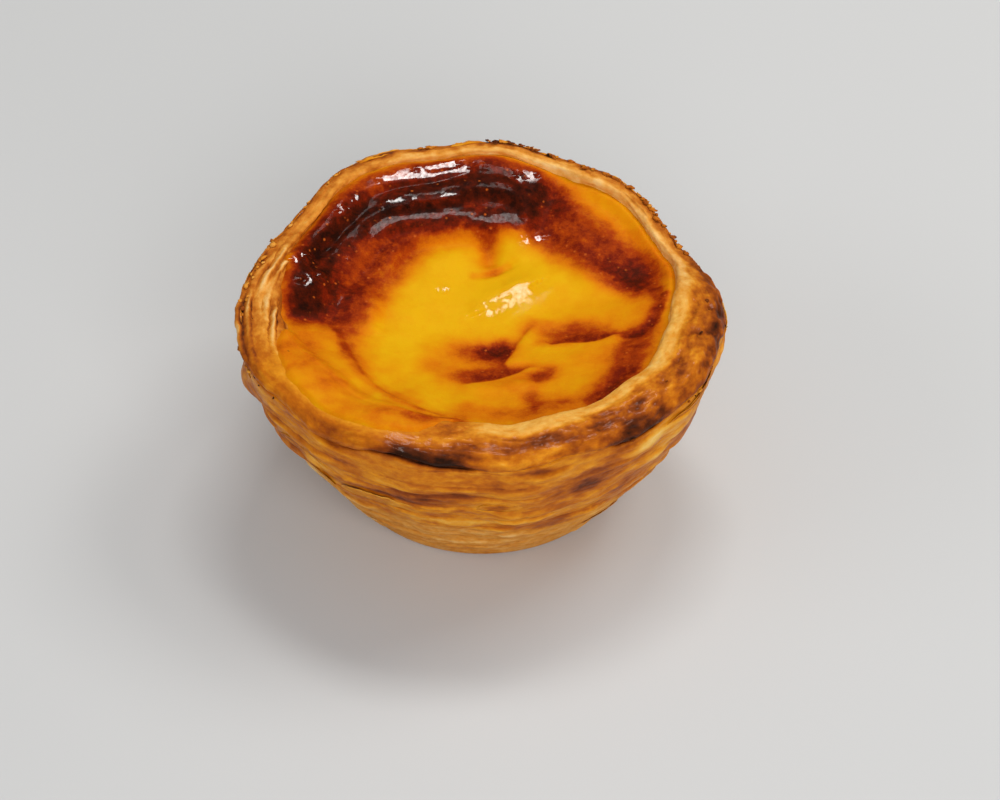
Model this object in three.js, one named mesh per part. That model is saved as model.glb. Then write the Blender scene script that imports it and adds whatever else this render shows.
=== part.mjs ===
// A Portuguese custard tart: a flared flaky pastry cup with a rolled lip, and the baked
// custard that fills it. Millimetres, +Z up. The origin is the centre of the flat base,
// and -Y is the side where the lip is thickest.

import * as THREE from 'three';

// Driving dimensions, mm
const BASE_FLAT_RADIUS = 21.2;
const BASE_RADIUS = 22.7;
const BASE_CORNER_HEIGHT = 1.0;
const RIM_RADIUS = 36.9;
const RIM_HEIGHT = 33.6;
const WALL_FLARE = 1.6;
const THIN_LIP = 2.3;
const THICK_LIP = 8.6;
const THIN_LIP_DROP = 0.4;
const THICK_LIP_DROP = 2.7;
const FILL_DROP = 1.9;
const FLOOR_THICKNESS = 3;
const FLOOR_RADIUS = 17.4;
const FLOOR_FILLET = 1.2;
const CAVITY_FLARE = 1.55;
const GAP = 0.35;
const DISH_DEPTH = 5;

// Layers that show on the outer wall, mm
const LAYER_RELIEF = 0.4;
const LAYER_WAVES = 3;
const LAYER_WAVE_HEIGHT = 0.6;

// How finely the forms are cut
const SEGMENTS = 84;
const WALL_RINGS = 14;
const CAVITY_RINGS = 6;
const TOP_RINGS = 20;

// Where the rim swells (+) or draws in (-), by angle from +X in degrees, mm
const RIM_BULGES = [
  { at: 117, spread: 15, by: 1.3 },
  { at: 85, spread: 8, by: 0.6 },
  { at: 154, spread: 20, by: -1.3 },
  { at: 28, spread: 18, by: -2.0 },
  { at: -8, spread: 16, by: 0.5 },
  { at: -165, spread: 18, by: 0.9 },
  { at: -90, spread: 45, by: -1.5 },
];

// Where the rim stands higher (+) or lower (-)
const RIM_RISES = [
  { at: 102, spread: 45, by: 1.9 },
  { at: 22, spread: 28, by: -1.8 },
  { at: -90, spread: 40, by: -0.5 },
];

// Small ripples all round the rim, in whole waves per turn, mm
const RIM_RIPPLES = [
  { waves: 9, size: 0.22, phase: 0.4 },
  { waves: 14, size: 0.16, phase: 2.1 },
];
const RIPPLE_SHIFT = 40;

// The lip is thick from the right side, round the front, to the left side
const THICK_LIP_CENTRE = -77;
const THICK_LIP_REACH = 103;
const THICK_LIP_FADE = 30;

// Slits where the rolled lip has lifted off the layer below
const SLITS = [
  { from: -140, to: -88, depth: 1.8 },
  { from: -66, to: -34, depth: 1.6 },
];
const SLIT_FADE = 12;
const SLIT_STEP = 0.15;

// The lip's section over its crest: shares of its width in from the outer edge, and of the
// drop from its crest to that edge
const LIP_SECTION = [
  { inward: 0.06, up: 0.35 },
  { inward: 0.2, up: 0.78 },
  { inward: 0.45, up: 1 },
  { inward: 0.75, up: 0.85 },
];

// Long folds of the custard that follow its edge. A radius is from the tart's centre, or
// a distance in from the custard's edge where inset says so.
const FOLDS = [
  { inset: 3.0, width: 2.4, from: 72, to: 168, rise: 2.3 },
  { radius: 27.6, width: 2.1, from: 84, to: 138, rise: -1.0 },
  { radius: 23.6, width: 2.2, from: 80, to: 160, rise: 1.2 },
  { radius: 26.4, width: 2.6, from: 18, to: 66, rise: 0.8 },
];
const FOLD_FADE = 16;

// Single bumps (+) and hollows (-) of the custard's top
const BUMPS = [
  { x: -28.0, y: 6.2, size: 3.4, rise: 1.3 },
  { x: 1.2, y: 13.8, size: 2.6, rise: -1.5 },
  { x: 4.3, y: 8.0, size: 6.0, rise: 1.0 },
  { x: -9.0, y: 9.5, size: 6.5, rise: 0.9 },
  { x: 1.2, y: -5.0, size: 4.2, rise: -0.8 },
  { x: 9.5, y: -9.0, size: 5.0, rise: 1.0 },
  { x: -5.5, y: -15.0, size: 6.0, rise: 0.5 },
  { x: 20.5, y: -13.0, size: 4.5, rise: -0.9 },
  { x: 25.6, y: 10.0, size: 4.0, rise: -0.6 },
];

// The skin along the front edge stands a step above the softer middle
const SHELF_RADIUS = 22;
const SHELF_WIDTH = 2.6;
const SHELF_RISE = 0.8;
const SHELF_CENTRE = -130;
const SHELF_REACH = 62;

// All relief of the custard's top dies out over this last share of the way to its edge
const EDGE_HOLD = 0.06;

function smoothStep(value) {
  const t = Math.min(Math.max(value, 0), 1);
  return t * t * (3 - 2 * t);
}

function turnFrom(degrees, centre) {
  return THREE.MathUtils.euclideanModulo(degrees - centre + 180, 360) - 180;
}

function bell(offset, spread) {
  return Math.exp(-((offset / spread) ** 2));
}

function sumOfBells(features, degrees) {
  return features.reduce((sum, f) => sum + f.by * bell(turnFrom(degrees, f.at), f.spread), 0);
}

// 1 well inside the arc from..to, falling to 0 at its ends over the angle fade
function arcWindow(degrees, arc, fade) {
  const middle = (arc.from + arc.to) / 2;
  const halfArc = (arc.to - arc.from) / 2;
  return smoothStep((halfArc - Math.abs(turnFrom(degrees, middle))) / fade);
}

function rimRipple(degrees) {
  const turn = THREE.MathUtils.degToRad(degrees);
  return RIM_RIPPLES.reduce((sum, r) => sum + r.size * Math.sin(r.waves * turn + r.phase), 0);
}

function rimRadius(degrees) {
  return RIM_RADIUS + sumOfBells(RIM_BULGES, degrees) + rimRipple(degrees);
}

function rimHeight(degrees) {
  return RIM_HEIGHT + sumOfBells(RIM_RISES, degrees) + rimRipple(degrees + RIPPLE_SHIFT);
}

function lipThickness(degrees) {
  const inside = THICK_LIP_REACH - Math.abs(turnFrom(degrees, THICK_LIP_CENTRE));
  return smoothStep(inside / THICK_LIP_FADE);
}

function lipWidth(degrees) {
  return THREE.MathUtils.lerp(THIN_LIP, THICK_LIP, lipThickness(degrees));
}

function outerEdgeHeight(degrees) {
  return rimHeight(degrees)
    - THREE.MathUtils.lerp(THIN_LIP_DROP, THICK_LIP_DROP, lipThickness(degrees));
}

function fillHeight(degrees) {
  return rimHeight(degrees) - FILL_DROP;
}

function fillRadius(degrees) {
  return rimRadius(degrees) - lipWidth(degrees);
}

function slitDepth(degrees) {
  return SLITS.reduce((sum, slit) => sum + slit.depth * arcWindow(degrees, slit, SLIT_FADE), 0);
}

// A point of the outer wall, at a share of the way up it
function wallPoint(degrees, share) {
  const height = outerEdgeHeight(degrees);
  const flare = 1 - (1 - share) ** WALL_FLARE;
  const radius = BASE_RADIUS + (rimRadius(degrees) - BASE_RADIUS) * flare;
  return [radius, BASE_CORNER_HEIGHT + (height - BASE_CORNER_HEIGHT) * share];
}

// The same with the ledges of the pastry's layers, which wander up and down round the tart
function layeredWallPoint(degrees, ring) {
  const share = ring / WALL_RINGS;
  const [radius, height] = wallPoint(degrees, share);
  const turn = THREE.MathUtils.degToRad(degrees);
  const ledge = ring % 2 === 0 ? LAYER_RELIEF : -LAYER_RELIEF;
  const wave = LAYER_WAVE_HEIGHT * Math.sin(LAYER_WAVES * turn + share * Math.PI * 2);
  const settle = Math.sin(Math.PI * share);
  return [radius + ledge * settle, height + wave * settle];
}

// A point of the cup's inside, at a share of the way up from its floor to the custard's edge
function cavityPoint(degrees, share) {
  const flare = 1 - (1 - share) ** CAVITY_FLARE;
  const radius = FLOOR_RADIUS + (fillRadius(degrees) - FLOOR_RADIUS) * flare;
  const floor = FLOOR_THICKNESS + FLOOR_FILLET;
  return [radius, floor + (fillHeight(degrees) - floor) * share];
}

// The rolled lip, from the slit at the top of the outer wall over to the custard's edge
function lipPoints(degrees) {
  const radius = rimRadius(degrees);
  const edge = outerEdgeHeight(degrees);
  const drop = rimHeight(degrees) - edge;
  const slit = [radius - slitDepth(degrees) - SLIT_STEP, edge + SLIT_STEP * drop];
  const roll = LIP_SECTION.map(({ inward, up }) => (
    [radius - inward * lipWidth(degrees), edge + up * drop]
  ));
  return [slit, ...roll];
}

function shellProfile(degrees) {
  const profile = [
    [0, 0],
    [BASE_FLAT_RADIUS, 0],
    [BASE_RADIUS - BASE_CORNER_HEIGHT / 3, BASE_CORNER_HEIGHT / 3],
    [BASE_RADIUS, BASE_CORNER_HEIGHT],
  ];
  for (let ring = 1; ring <= WALL_RINGS; ring += 1) {
    profile.push(layeredWallPoint(degrees, ring));
  }
  profile.push(...lipPoints(degrees));
  for (let ring = CAVITY_RINGS; ring >= 0; ring -= 1) {
    profile.push(cavityPoint(degrees, ring / CAVITY_RINGS));
  }
  profile.push([FLOOR_RADIUS - FLOOR_FILLET, FLOOR_THICKNESS]);
  profile.push([0, FLOOR_THICKNESS]);
  return profile;
}

function foldRise(degrees, radius, edgeRadius) {
  return FOLDS.reduce((sum, fold) => {
    const ridge = fold.inset === undefined ? fold.radius : edgeRadius - fold.inset;
    return sum + fold.rise * arcWindow(degrees, fold, FOLD_FADE) * bell(radius - ridge, fold.width);
  }, 0);
}

function bumpRise(x, y) {
  return BUMPS.reduce((sum, b) => sum + b.rise * bell(Math.hypot(x - b.x, y - b.y), b.size), 0);
}

function shelfRise(degrees, radius) {
  const arc = { from: SHELF_CENTRE - SHELF_REACH, to: SHELF_CENTRE + SHELF_REACH };
  const step = smoothStep((radius - SHELF_RADIUS) / SHELF_WIDTH);
  return SHELF_RISE * arcWindow(degrees, arc, FOLD_FADE) * step;
}

// Height of the custard's top, at a share of the way out from the centre to its edge
function custardTop(degrees, share) {
  const edgeRadius = fillRadius(degrees) - GAP;
  const radius = edgeRadius * share;
  const turn = THREE.MathUtils.degToRad(degrees);
  const dish = DISH_DEPTH * (1 - share ** 2);
  const relief = foldRise(degrees, radius, edgeRadius) + shelfRise(degrees, radius)
    + bumpRise(radius * Math.cos(turn), radius * Math.sin(turn));
  const centreHeight = RIM_HEIGHT - FILL_DROP;
  const edgeHeight = centreHeight + (fillHeight(degrees) - centreHeight) * share ** 2;
  const hold = smoothStep((1 - share) / EDGE_HOLD);
  return [radius, edgeHeight - dish + relief * hold];
}

function custardProfile(degrees) {
  const profile = [
    [0, FLOOR_THICKNESS + GAP],
    [FLOOR_RADIUS - FLOOR_FILLET - GAP, FLOOR_THICKNESS + GAP],
  ];
  for (let ring = 0; ring < CAVITY_RINGS; ring += 1) {
    const [radius, height] = cavityPoint(degrees, ring / CAVITY_RINGS);
    profile.push([radius - GAP, height + GAP / 2]);
  }
  for (let ring = 0; ring <= TOP_RINGS; ring += 1) {
    profile.push(custardTop(degrees, 1 - ring / TOP_RINGS));
  }
  return profile;
}

// A closed body whose profile, from axis to axis, changes with the angle round +Z
function turnedSolid(profileAt) {
  const profiles = [];
  for (let segment = 0; segment < SEGMENTS; segment += 1) {
    profiles.push(profileAt((segment * 360) / SEGMENTS));
  }
  const outline = profiles[0].map(([radius, height]) => new THREE.Vector2(radius, height));
  const geometry = new THREE.LatheGeometry(outline, SEGMENTS);
  const positions = geometry.getAttribute('position');
  for (let index = 0; index < positions.count; index += 1) {
    const segment = Math.floor(index / outline.length) % SEGMENTS;
    const [radius, height] = profiles[segment][index % outline.length];
    const turn = (segment * 2 * Math.PI) / SEGMENTS;
    positions.setXYZ(index, radius * Math.cos(turn), radius * Math.sin(turn), height);
  }
  geometry.computeVertexNormals();
  return geometry;
}

function makePastryShell() {
  const material = new THREE.MeshStandardMaterial({
    color: 0xb87433,
    roughness: 0.5,
    metalness: 0,
  });
  const mesh = new THREE.Mesh(turnedSolid(shellProfile), material);
  mesh.name = 'pastry_shell';
  return mesh;
}

function makeCustard() {
  const material = new THREE.MeshStandardMaterial({
    color: 0xe6a80c,
    roughness: 0.25,
    metalness: 0,
  });
  const mesh = new THREE.Mesh(turnedSolid(custardProfile), material);
  mesh.name = 'custard';
  return mesh;
}

const tart = new THREE.Group();
tart.add(makePastryShell(), makeCustard());

export default tart;
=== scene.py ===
"""The finished look of a Portuguese custard tart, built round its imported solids.

Shapes are worked out in millimetres in the frame's own axes: +Z up, and -Y towards the
side where the lip is thickest. Angles go from +X towards +Y, in degrees. UNIT turns a
millimetre into metres.
"""

import math
from types import SimpleNamespace

import bmesh
import bpy
import numpy as np
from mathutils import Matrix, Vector


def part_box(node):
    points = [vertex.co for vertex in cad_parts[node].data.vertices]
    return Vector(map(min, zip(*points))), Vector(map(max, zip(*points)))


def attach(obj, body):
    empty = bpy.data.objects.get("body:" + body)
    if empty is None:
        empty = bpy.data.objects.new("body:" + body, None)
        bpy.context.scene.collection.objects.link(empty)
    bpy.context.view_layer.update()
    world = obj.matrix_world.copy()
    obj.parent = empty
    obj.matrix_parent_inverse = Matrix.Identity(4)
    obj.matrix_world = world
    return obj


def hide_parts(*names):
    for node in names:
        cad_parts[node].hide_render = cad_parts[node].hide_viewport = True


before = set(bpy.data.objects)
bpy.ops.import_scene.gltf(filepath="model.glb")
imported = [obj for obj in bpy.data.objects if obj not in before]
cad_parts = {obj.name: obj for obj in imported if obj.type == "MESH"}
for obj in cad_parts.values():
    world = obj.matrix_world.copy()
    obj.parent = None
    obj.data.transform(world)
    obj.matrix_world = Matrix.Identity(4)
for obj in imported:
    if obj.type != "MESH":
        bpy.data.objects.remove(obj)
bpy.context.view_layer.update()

# ---------------------------------------------------------------- sizes from the frame
shell_low, shell_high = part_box("pastry_shell")
DESIGN_WIDTH = 74.44
UNIT = (shell_high[0] - shell_low[0]) / DESIGN_WIDTH

# The pastry cup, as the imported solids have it
BASE_RADIUS = 22.7
BASE_CORNER_HEIGHT = 1.0
RIM_RADIUS = 36.9
RIM_HEIGHT = 33.6
WALL_FLARE = 1.6
THIN_LIP = 2.3
THICK_LIP = 8.6
THIN_LIP_DROP = 0.4
THICK_LIP_DROP = 2.7
FILL_DROP = 1.9
DISH_DEPTH = 5.0

RIM_BULGES = [
    (117, 15, 1.3), (85, 8, 0.6), (154, 20, -1.3), (28, 18, -2), (-8, 16, 0.5), (-165, 18, 0.9),
    (-90, 45, -1.5),
]
RIM_RISES = [(102, 45, 1.9), (22, 28, -1.8), (-90, 40, -0.5)]
RIM_RIPPLES = [(9, 0.22, 0.4), (14, 0.16, 2.1)]
RIPPLE_SHIFT = 40
# Finer unevenness than the solids hold: waves a turn and size, and waves of the lip's edge
RIM_WOBBLES = [(20, 0.32, 401), (52, 0.16, 402)]
EDGE_WAVES = [(-127, 8, -0.9), (-110, 8, 1.3), (-66, 8, 0.6), (-42, 8, -0.6)]
# Where the flaky rim is broader than the solid has it
LIP_SWELLS = [(179, 19, 3.6)]
THICK_LIP_CENTRE = -77
THICK_LIP_REACH = 103
THICK_LIP_FADE = 30


# ---------------------------------------------------------------- small mathematics
# How closely drawn curves are sampled, mm
CURVE_STEP = 0.9


def ease(value):
    value = np.clip(value, 0, 1)
    return value * value * (3 - 2 * value)


def turn_from(degrees, centre):
    return (degrees - centre + 180) % 360 - 180


def bell(offset, spread):
    return np.exp(-((offset / spread) ** 2))


def sum_of_bells(features, degrees):
    return sum(by * bell(turn_from(degrees, at), spread) for at, spread, by in features)


def plateau(gap, half_width, power=3):
    """1 along a line's middle, falling quickly past its half width."""
    return np.exp(-((gap / half_width) ** power))


def arc_window(degrees, start, end, fade):
    """1 well inside the arc from start to end, falling to 0 at its ends."""
    half = (end - start) / 2
    return ease((half - np.abs(turn_from(degrees, start + half))) / fade)


def lattice_noise(x, y, z, seed):
    """Gradient noise in three dimensions, about -1 to 1."""
    maker = np.random.default_rng(seed)
    order = maker.permutation(256)
    gradients = maker.normal(size=(256, 3))
    gradients /= np.linalg.norm(gradients, axis=1)[:, None]
    cell = [np.floor(c).astype(int) for c in (x, y, z)]
    part = [c - f for c, f in zip((x, y, z), cell)]
    fade = [p * p * p * (p * (p * 6 - 15) + 10) for p in part]
    total = 0
    for corner in range(8):
        step = [(corner >> axis) & 1 for axis in range(3)]
        key = order[(cell[0] + step[0]) & 255]
        key = order[(key + cell[1] + step[1]) & 255]
        key = order[(key + cell[2] + step[2]) & 255]
        slope = gradients[key]
        value = sum(slope[..., a] * (part[a] - step[a]) for a in range(3))
        weight = 1
        for a in range(3):
            weight = weight * (fade[a] if step[a] else 1 - fade[a])
        total = total + weight * value
    return total * 1.6


def noise(x, y, z, seed, octaves=3):
    """Finer and fainter layers of noise on one another, about -1 to 1."""
    total, size, weight = 0, 1.0, 1.0
    for octave in range(octaves):
        total = total + weight * lattice_noise(x * size, y * size, z * size, seed + octave)
        size *= 2.03
        weight *= 0.5
    return total / (2 - 2 ** (1 - octaves))


def flat_noise(x, y, size, seed, octaves=3, level=0):
    """Noise seen from above, with features of about so many millimetres."""
    return noise(x / size, y / size, level, seed, octaves)


def shaken(x, y, by, seed):
    """Places shifted a little, which gives drawn shapes an uneven outline."""
    return x + by * flat_noise(x, y, 6, seed), y + by * flat_noise(x, y, 6, seed + 1, level=5)


def ring_noise(degrees, across, waves, seed, octaves=3):
    """Noise round the tart with about so many waves a turn, and across in its own steps."""
    turn = np.radians(degrees)
    reach = waves / (2 * math.pi)
    return noise(reach * np.cos(turn), reach * np.sin(turn), across, seed, octaves)


def spline(a, b, c, d, t):
    """A smooth run from b to c as t goes from 0 to 1, with a and d as their neighbours."""
    return 0.5 * (2 * b + (c - a) * t + (2 * a - 5 * b + 4 * c - d) * t ** 2
                  + (3 * b - a - 3 * c + d) * t ** 3)


def curve_through(points):
    """A smooth open curve through given points, sampled closely."""
    p = np.array(points, float)
    padded = np.vstack([2 * p[0] - p[1], p, 2 * p[-1] - p[-2]])
    pieces = []
    for i in range(len(p) - 1):
        count = max(2, int(np.linalg.norm(p[i + 1] - p[i]) / CURVE_STEP))
        t = np.linspace(0, 1, count, endpoint=False)[:, None]
        pieces.append(spline(*padded[i:i + 4], t))
    return np.vstack(pieces + [p[-1:]])


def from_curve(x, y, points):
    """For each place: its distance from the curve, the share along it, and which side (+ left)."""
    line = curve_through(points)
    best = np.full(x.shape, np.inf)
    share, side = 0 * x, 0 * x
    count = len(line) - 1
    for i in range(count):
        (ax, ay), (step_x, step_y) = line[i], line[i + 1] - line[i]
        along = ((x - ax) * step_x + (y - ay) * step_y) / (step_x ** 2 + step_y ** 2)
        along = np.clip(along, 0, 1)
        dx, dy = x - ax - along * step_x, y - ay - along * step_y
        gap = dx * dx + dy * dy
        nearer = gap < best
        best = np.where(nearer, gap, best)
        share = np.where(nearer, (i + along) / count, share)
        side = np.where(nearer, step_x * dy - step_y * dx, side)
    return np.sqrt(best), share, side


def ends_fade(share, fade):
    """1 along a line, falling to 0 over the given share at either end."""
    return ease(share / fade) * ease((1 - share) / fade)


def oval(x, y, place):
    """A soft oval spot, 1 at its middle. place is x, y, length, width, turn."""
    cx, cy, length, width, turn = place
    c, s = math.cos(math.radians(turn)), math.sin(math.radians(turn))
    u = ((x - cx) * c + (y - cy) * s) / length
    v = ((y - cy) * c - (x - cx) * s) / width
    return np.exp(-(u * u + v * v))


# ---------------------------------------------------------------- the tart's main lines
def rim_ripple(degrees):
    turn = np.radians(degrees)
    return sum(size * np.sin(waves * turn + phase) for waves, size, phase in RIM_RIPPLES)


def rim_wobble(degrees):
    return sum(size * ring_noise(degrees, 0, waves, seed, 2)
               for waves, size, seed in RIM_WOBBLES)


def rim_radius(degrees):
    swell = sum_of_bells(RIM_BULGES, degrees) + rim_ripple(degrees)
    return RIM_RADIUS + swell + rim_wobble(degrees)


def rim_height(degrees):
    return RIM_HEIGHT + sum_of_bells(RIM_RISES, degrees) + rim_ripple(degrees + RIPPLE_SHIFT)


def lip_thickness(degrees):
    inside = THICK_LIP_REACH - np.abs(turn_from(degrees, THICK_LIP_CENTRE))
    return ease(inside / THICK_LIP_FADE)


def lip_width(degrees):
    swell = sum_of_bells(LIP_SWELLS, degrees)
    return THIN_LIP + (THICK_LIP - THIN_LIP) * lip_thickness(degrees) + swell


def edge_height(degrees):
    drop = THIN_LIP_DROP + (THICK_LIP_DROP - THIN_LIP_DROP) * lip_thickness(degrees)
    return rim_height(degrees) - drop + sum_of_bells(EDGE_WAVES, degrees)


def fill_height(degrees):
    return rim_height(degrees) - FILL_DROP


def fill_radius(degrees):
    return rim_radius(degrees) - lip_width(degrees)


# ---------------------------------------------------------------- mesh helpers
def normals_of(points, wrap_rows):
    """Unit normals of a grid of points whose columns run round the tart."""
    around = np.roll(points, -1, axis=1) - np.roll(points, 1, axis=1)
    if wrap_rows:
        along = np.roll(points, -1, axis=0) - np.roll(points, 1, axis=0)
    else:
        along = np.gradient(points, axis=0)
    normal = np.cross(around, along)
    size = np.linalg.norm(normal, axis=2, keepdims=True)
    return normal / np.maximum(size, 1e-9)


def placed(name, data):
    """A new object in the scene, for a mesh, a camera or a lamp."""
    made = bpy.data.objects.new(name, data)
    bpy.context.scene.collection.objects.link(made)
    return made


def make_object(name, points, faces, attributes, uv, material):
    """A smooth-shaded mesh object. uv has one pair for each face corner."""
    mesh = bpy.data.meshes.new(name)
    mesh.from_pydata((points * UNIT).tolist(), [], faces)
    mesh.update()
    for key, values in attributes.items():
        values = np.asarray(values, np.float32)
        kind, field = ("FLOAT", "value") if values.ndim == 1 else ("FLOAT_VECTOR", "vector")
        mesh.attributes.new(key, kind, "POINT").data.foreach_set(field, values.ravel())
    if uv is not None:
        layer = mesh.uv_layers.new(name="OFBake")
        layer.data.foreach_set("uv", np.asarray(uv, np.float32).ravel())
    mesh.shade_smooth()
    mesh.materials.append(material)
    return placed(name, mesh)


def places_round(section):
    """Angle, radius, height and length along the section, for each point of a turned piece."""
    angle = np.arange(AROUND) * 360 / AROUND - 180
    radius, height = section(angle)
    steps = np.hypot(np.diff(radius, axis=0), np.diff(height, axis=0))
    along = np.vstack([0 * angle, np.cumsum(steps, axis=0)])
    return np.broadcast_to(angle, radius.shape), radius, height, along


def border(index):
    """The places along a grid's border, in turn."""
    return np.concatenate([index[0, :-1], index[:-1, -1], index[-1, :0:-1], index[:0:-1, 0]])


def quads(index):
    """The faces between the places of a grid."""
    faces = [index[:-1, :-1], index[:-1, 1:], index[1:, 1:], index[1:, :-1]]
    return np.stack(faces, -1).reshape(-1, 4)


def skirt(rim, low):
    """The faces between two closed runs of places, with their front outwards."""
    return np.stack([np.roll(rim, -1), rim, low, np.roll(low, -1)], 1)


def to_points(radius, height, degrees):
    turn = np.radians(degrees)
    return np.stack([radius * np.cos(turn), radius * np.sin(turn), height], -1)


def grid_faces(rows, columns, wrap_rows):
    """Quads of a grid that closes round its columns, with a uv pair for each corner."""
    index = np.arange(rows * columns).reshape(rows, columns)
    index = np.hstack([index, index[:, :1]])
    if wrap_rows:
        index = np.vstack([index, index[:1]])
    across, up = np.meshgrid(*(np.linspace(0, 1, n) for n in index.shape[::-1]))
    corners = quads(np.arange(index.size).reshape(index.shape)).ravel()
    return quads(index).tolist(), np.stack([across, up], -1).reshape(-1, 2)[corners]


def cap_uv(columns):
    """Map places of the triangles round both poles: first pole's and last pole's in turn."""
    left, right = np.arange(columns) / columns, (np.arange(columns) + 1) / columns
    middle = (left + right) / 2
    low, high = 0 * left, 0 * left + 1
    first = np.stack([middle, low, right, low, left, low], 1)
    last = np.stack([middle, high, left, high, right, high], 1)
    return np.hstack([first, last]).reshape(-1, 2)


def turned_object(name, points, attributes, material, wrap_rows):
    """A closed piece from rings of points. Unless its section closes, poles cap both ends."""
    rows, columns = points.shape[:2]
    faces, uv = grid_faces(rows, columns, wrap_rows)
    flat = points.reshape(-1, 3)
    values = {key: v.reshape(-1, *v.shape[2:]) for key, v in attributes.items()}
    if not wrap_rows:
        first, last = len(flat), len(flat) + 1
        on_axis = np.array([0, 0, 1])
        flat = np.vstack([flat, points[0].mean(0) * on_axis, points[-1].mean(0) * on_axis])
        values = {key: np.concatenate([v, [v[:columns].mean(0), v[-columns:].mean(0)]])
                  for key, v in values.items()}
        top = (rows - 1) * columns
        for column in range(columns):
            after = (column + 1) % columns
            faces.append([first, after, column])
            faces.append([last, top + column, top + after])
        uv = np.vstack([uv, cap_uv(columns)])
    return make_object(name, flat, faces, values, uv, material)


# ---------------------------------------------------------------- the custard
# The high ring of dark skin along the back. At each angle, ten places across it, as how far
# in from the custard's edge and how far over the fill line: edge, crest, start and end of
# the upper ledge, its foot, start and end of the lower ledge, its foot, and down to the pool.
RING_SECTIONS = [
    (72, [(0, 0.2), (1.2, 0.7), (2.4, 0.6), (4, 0.1), (5.2, -0.3), (7, -0.8), (8.6, -1.1), (10.6, -1.6),
          (13, -2.4), (15.6, -3.2)]),
    (80, [(0, 0.4), (1.2, 1), (2.6, 0.9), (4.4, 0.5), (5.4, 0.2), (7, 0.2), (8.4, -0.1), (9.8, -1.4),
          (13, -2.4), (15.6, -3.3)]),
    (93, [(0, 0.6), (1, 1.35), (1.9, 1.3), (3.6, 0.95), (4.6, 0.5), (6.6, 0.5), (8, 0.35), (9.4, -1.1),
          (13.2, -2.5), (15.6, -3.3)]),
    (107, [(0, 0.7), (1.6, 1.45), (2.8, 1.35), (4.8, 0.95), (5.5, 0.15), (7.6, 0.3), (9.3, -0.1),
           (10, -1.2), (12.2, -2), (14.4, -3.1)]),
    (120, [(0, 0.6), (1.4, 1.4), (2.4, 1.35), (4, 1.05), (4.9, 0.1), (6.6, 0.2), (8.8, -0.3),
           (9.5, -1.1), (11.2, -1.7), (13, -2.8)]),
    (130, [(0, 0.5), (1.4, 1.5), (2.8, 1.6), (3.9, 1.2), (5, 0.2), (6.3, -0.5), (7.4, -0.3), (8.6, -0.9),
           (10.4, -1.8), (12.2, -2.8)]),
    (140, [(0, 0.4), (1.2, 1.4), (2.6, 1.75), (3.6, 1.4), (4.4, 0.2), (5, -0.6), (6, -0.2), (7.4, -0.8),
           (9.4, -1.9), (11.2, -2.9)]),
    (154, [(0, 0.3), (1, 1.2), (2.3, 1.8), (3.4, 1.5), (4.1, 0.3), (4.7, -0.7), (5.8, -0.4), (7.4, -1.1),
           (9.3, -2), (11.2, -2.9)]),
    (162, [(0, 0.3), (1.2, 1.1), (2.7, 1.8), (4, 1.6), (4.9, 0.8), (5.6, 0), (6.6, 0), (8, -0.9),
           (9.6, -1.9), (11.2, -2.8)]),
    (168, [(0, 0.2), (1.5, 0.9), (3, 1.7), (4.6, 1.7), (5.8, 1.4), (7, 1.1), (8, 0.5), (9, -0.7),
           (10.2, -1.8), (11.6, -2.6)]),
    (174, [(0, 0.1), (1.5, 0.6), (3, 1.3), (4.6, 1.5), (5.8, 1.3), (7, 0.9), (8.2, 0.1), (9.2, -1),
           (10.4, -1.9), (11.6, -2.4)]),
    (181, [(0, 0), (1.5, -0.1), (3, -0.4), (4.6, -0.8), (5.8, -1.1), (7, -1.4), (8.2, -1.8), (9.2, -2),
           (10.4, -2.3), (11.6, -2.6)]),
]
RING_ARC = (66, 190)
RING_ARC_FADE = 8
RING_REACH = 16.5
# Folds round the right: distance in from the custard's edge, width, arc from and to, rise
EDGE_FOLDS = [(5.6, 2, 34, 74, 0.7), (0.9, 1.4, -4, 66, 0.7), (11.5, 3, 14, 62, 0.8)]
FOLD_FADE = 16
# Folds and creases that wander: width, rise, and the places they pass through
FREE_FOLDS = [
    (1.7, -0.9, [(0.2, 21.4), (0.9, 18), (1.4, 15.2), (1.8, 13.6)]),
    (0.7, -0.4, [(-2.2, 11.8), (0.4, 12.3), (2.4, 13.1), (4.4, 14.3), (6.4, 15.4)]),
    (1, -0.3, [(28.6, 4.4), (27.6, 1.6), (26, -2), (24.2, -4.2), (20.4, -3)]),
    (1.6, 0.4, [(-6, -14.6), (0, -15.2), (6, -14.4), (12, -14.8)]),
    (1.1, -0.8, [(-19, 16.6), (-20.8, 12.6), (-21.8, 8), (-22.2, 3.6), (-22.4, -2)]),
    (1.1, -0.4, [(22.4, -12.4), (20, -16.4), (17.4, -18.8)]),
]
# Where one sheet of skin ends over another: rise, reach back from its edge, how dark the
# skin at the foot of its edge is painted as shade, and the edge itself, with the upper sheet on its left
OVERLAPS = [
    (0.3, 3.4, 0.2, [(8.6, 1.4), (7, -0.4), (5.8, -2.8), (4.6, -5.4), (3.6, -7.8), (4.2, -9.6)]),
    (0.34, 3.6, 0.14, [(22.4, -3.2), (20.3, -3.2), (18.4, -4.1), (15.8, -4.5), (12.9, -3.9),
                       (10.6, -4.1), (9, -2.4)]),
    (0.26, 4.4, 0.14, [(10.4, -10.4), (7.4, -9.3), (5.1, -11), (2.6, -12.1), (-0.2, -13),
                       (-3.8, -14.4)]),
]
# The line where the soft middle meets the higher skin along the front and left
SHELF_LINE = [
    (-22.6, 3), (-21.6, -2), (-19.8, -7.3), (-16.9, -13.2), (-12.4, -18.6), (-7.7, -21.7), (-3, -24),
    (3, -25.4), (9, -25.2), (14.4, -23.2),
]
SHELF_RISE = 0.8
SHELF_WIDTH = 1.6
SHELF_REACH = 9
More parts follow.
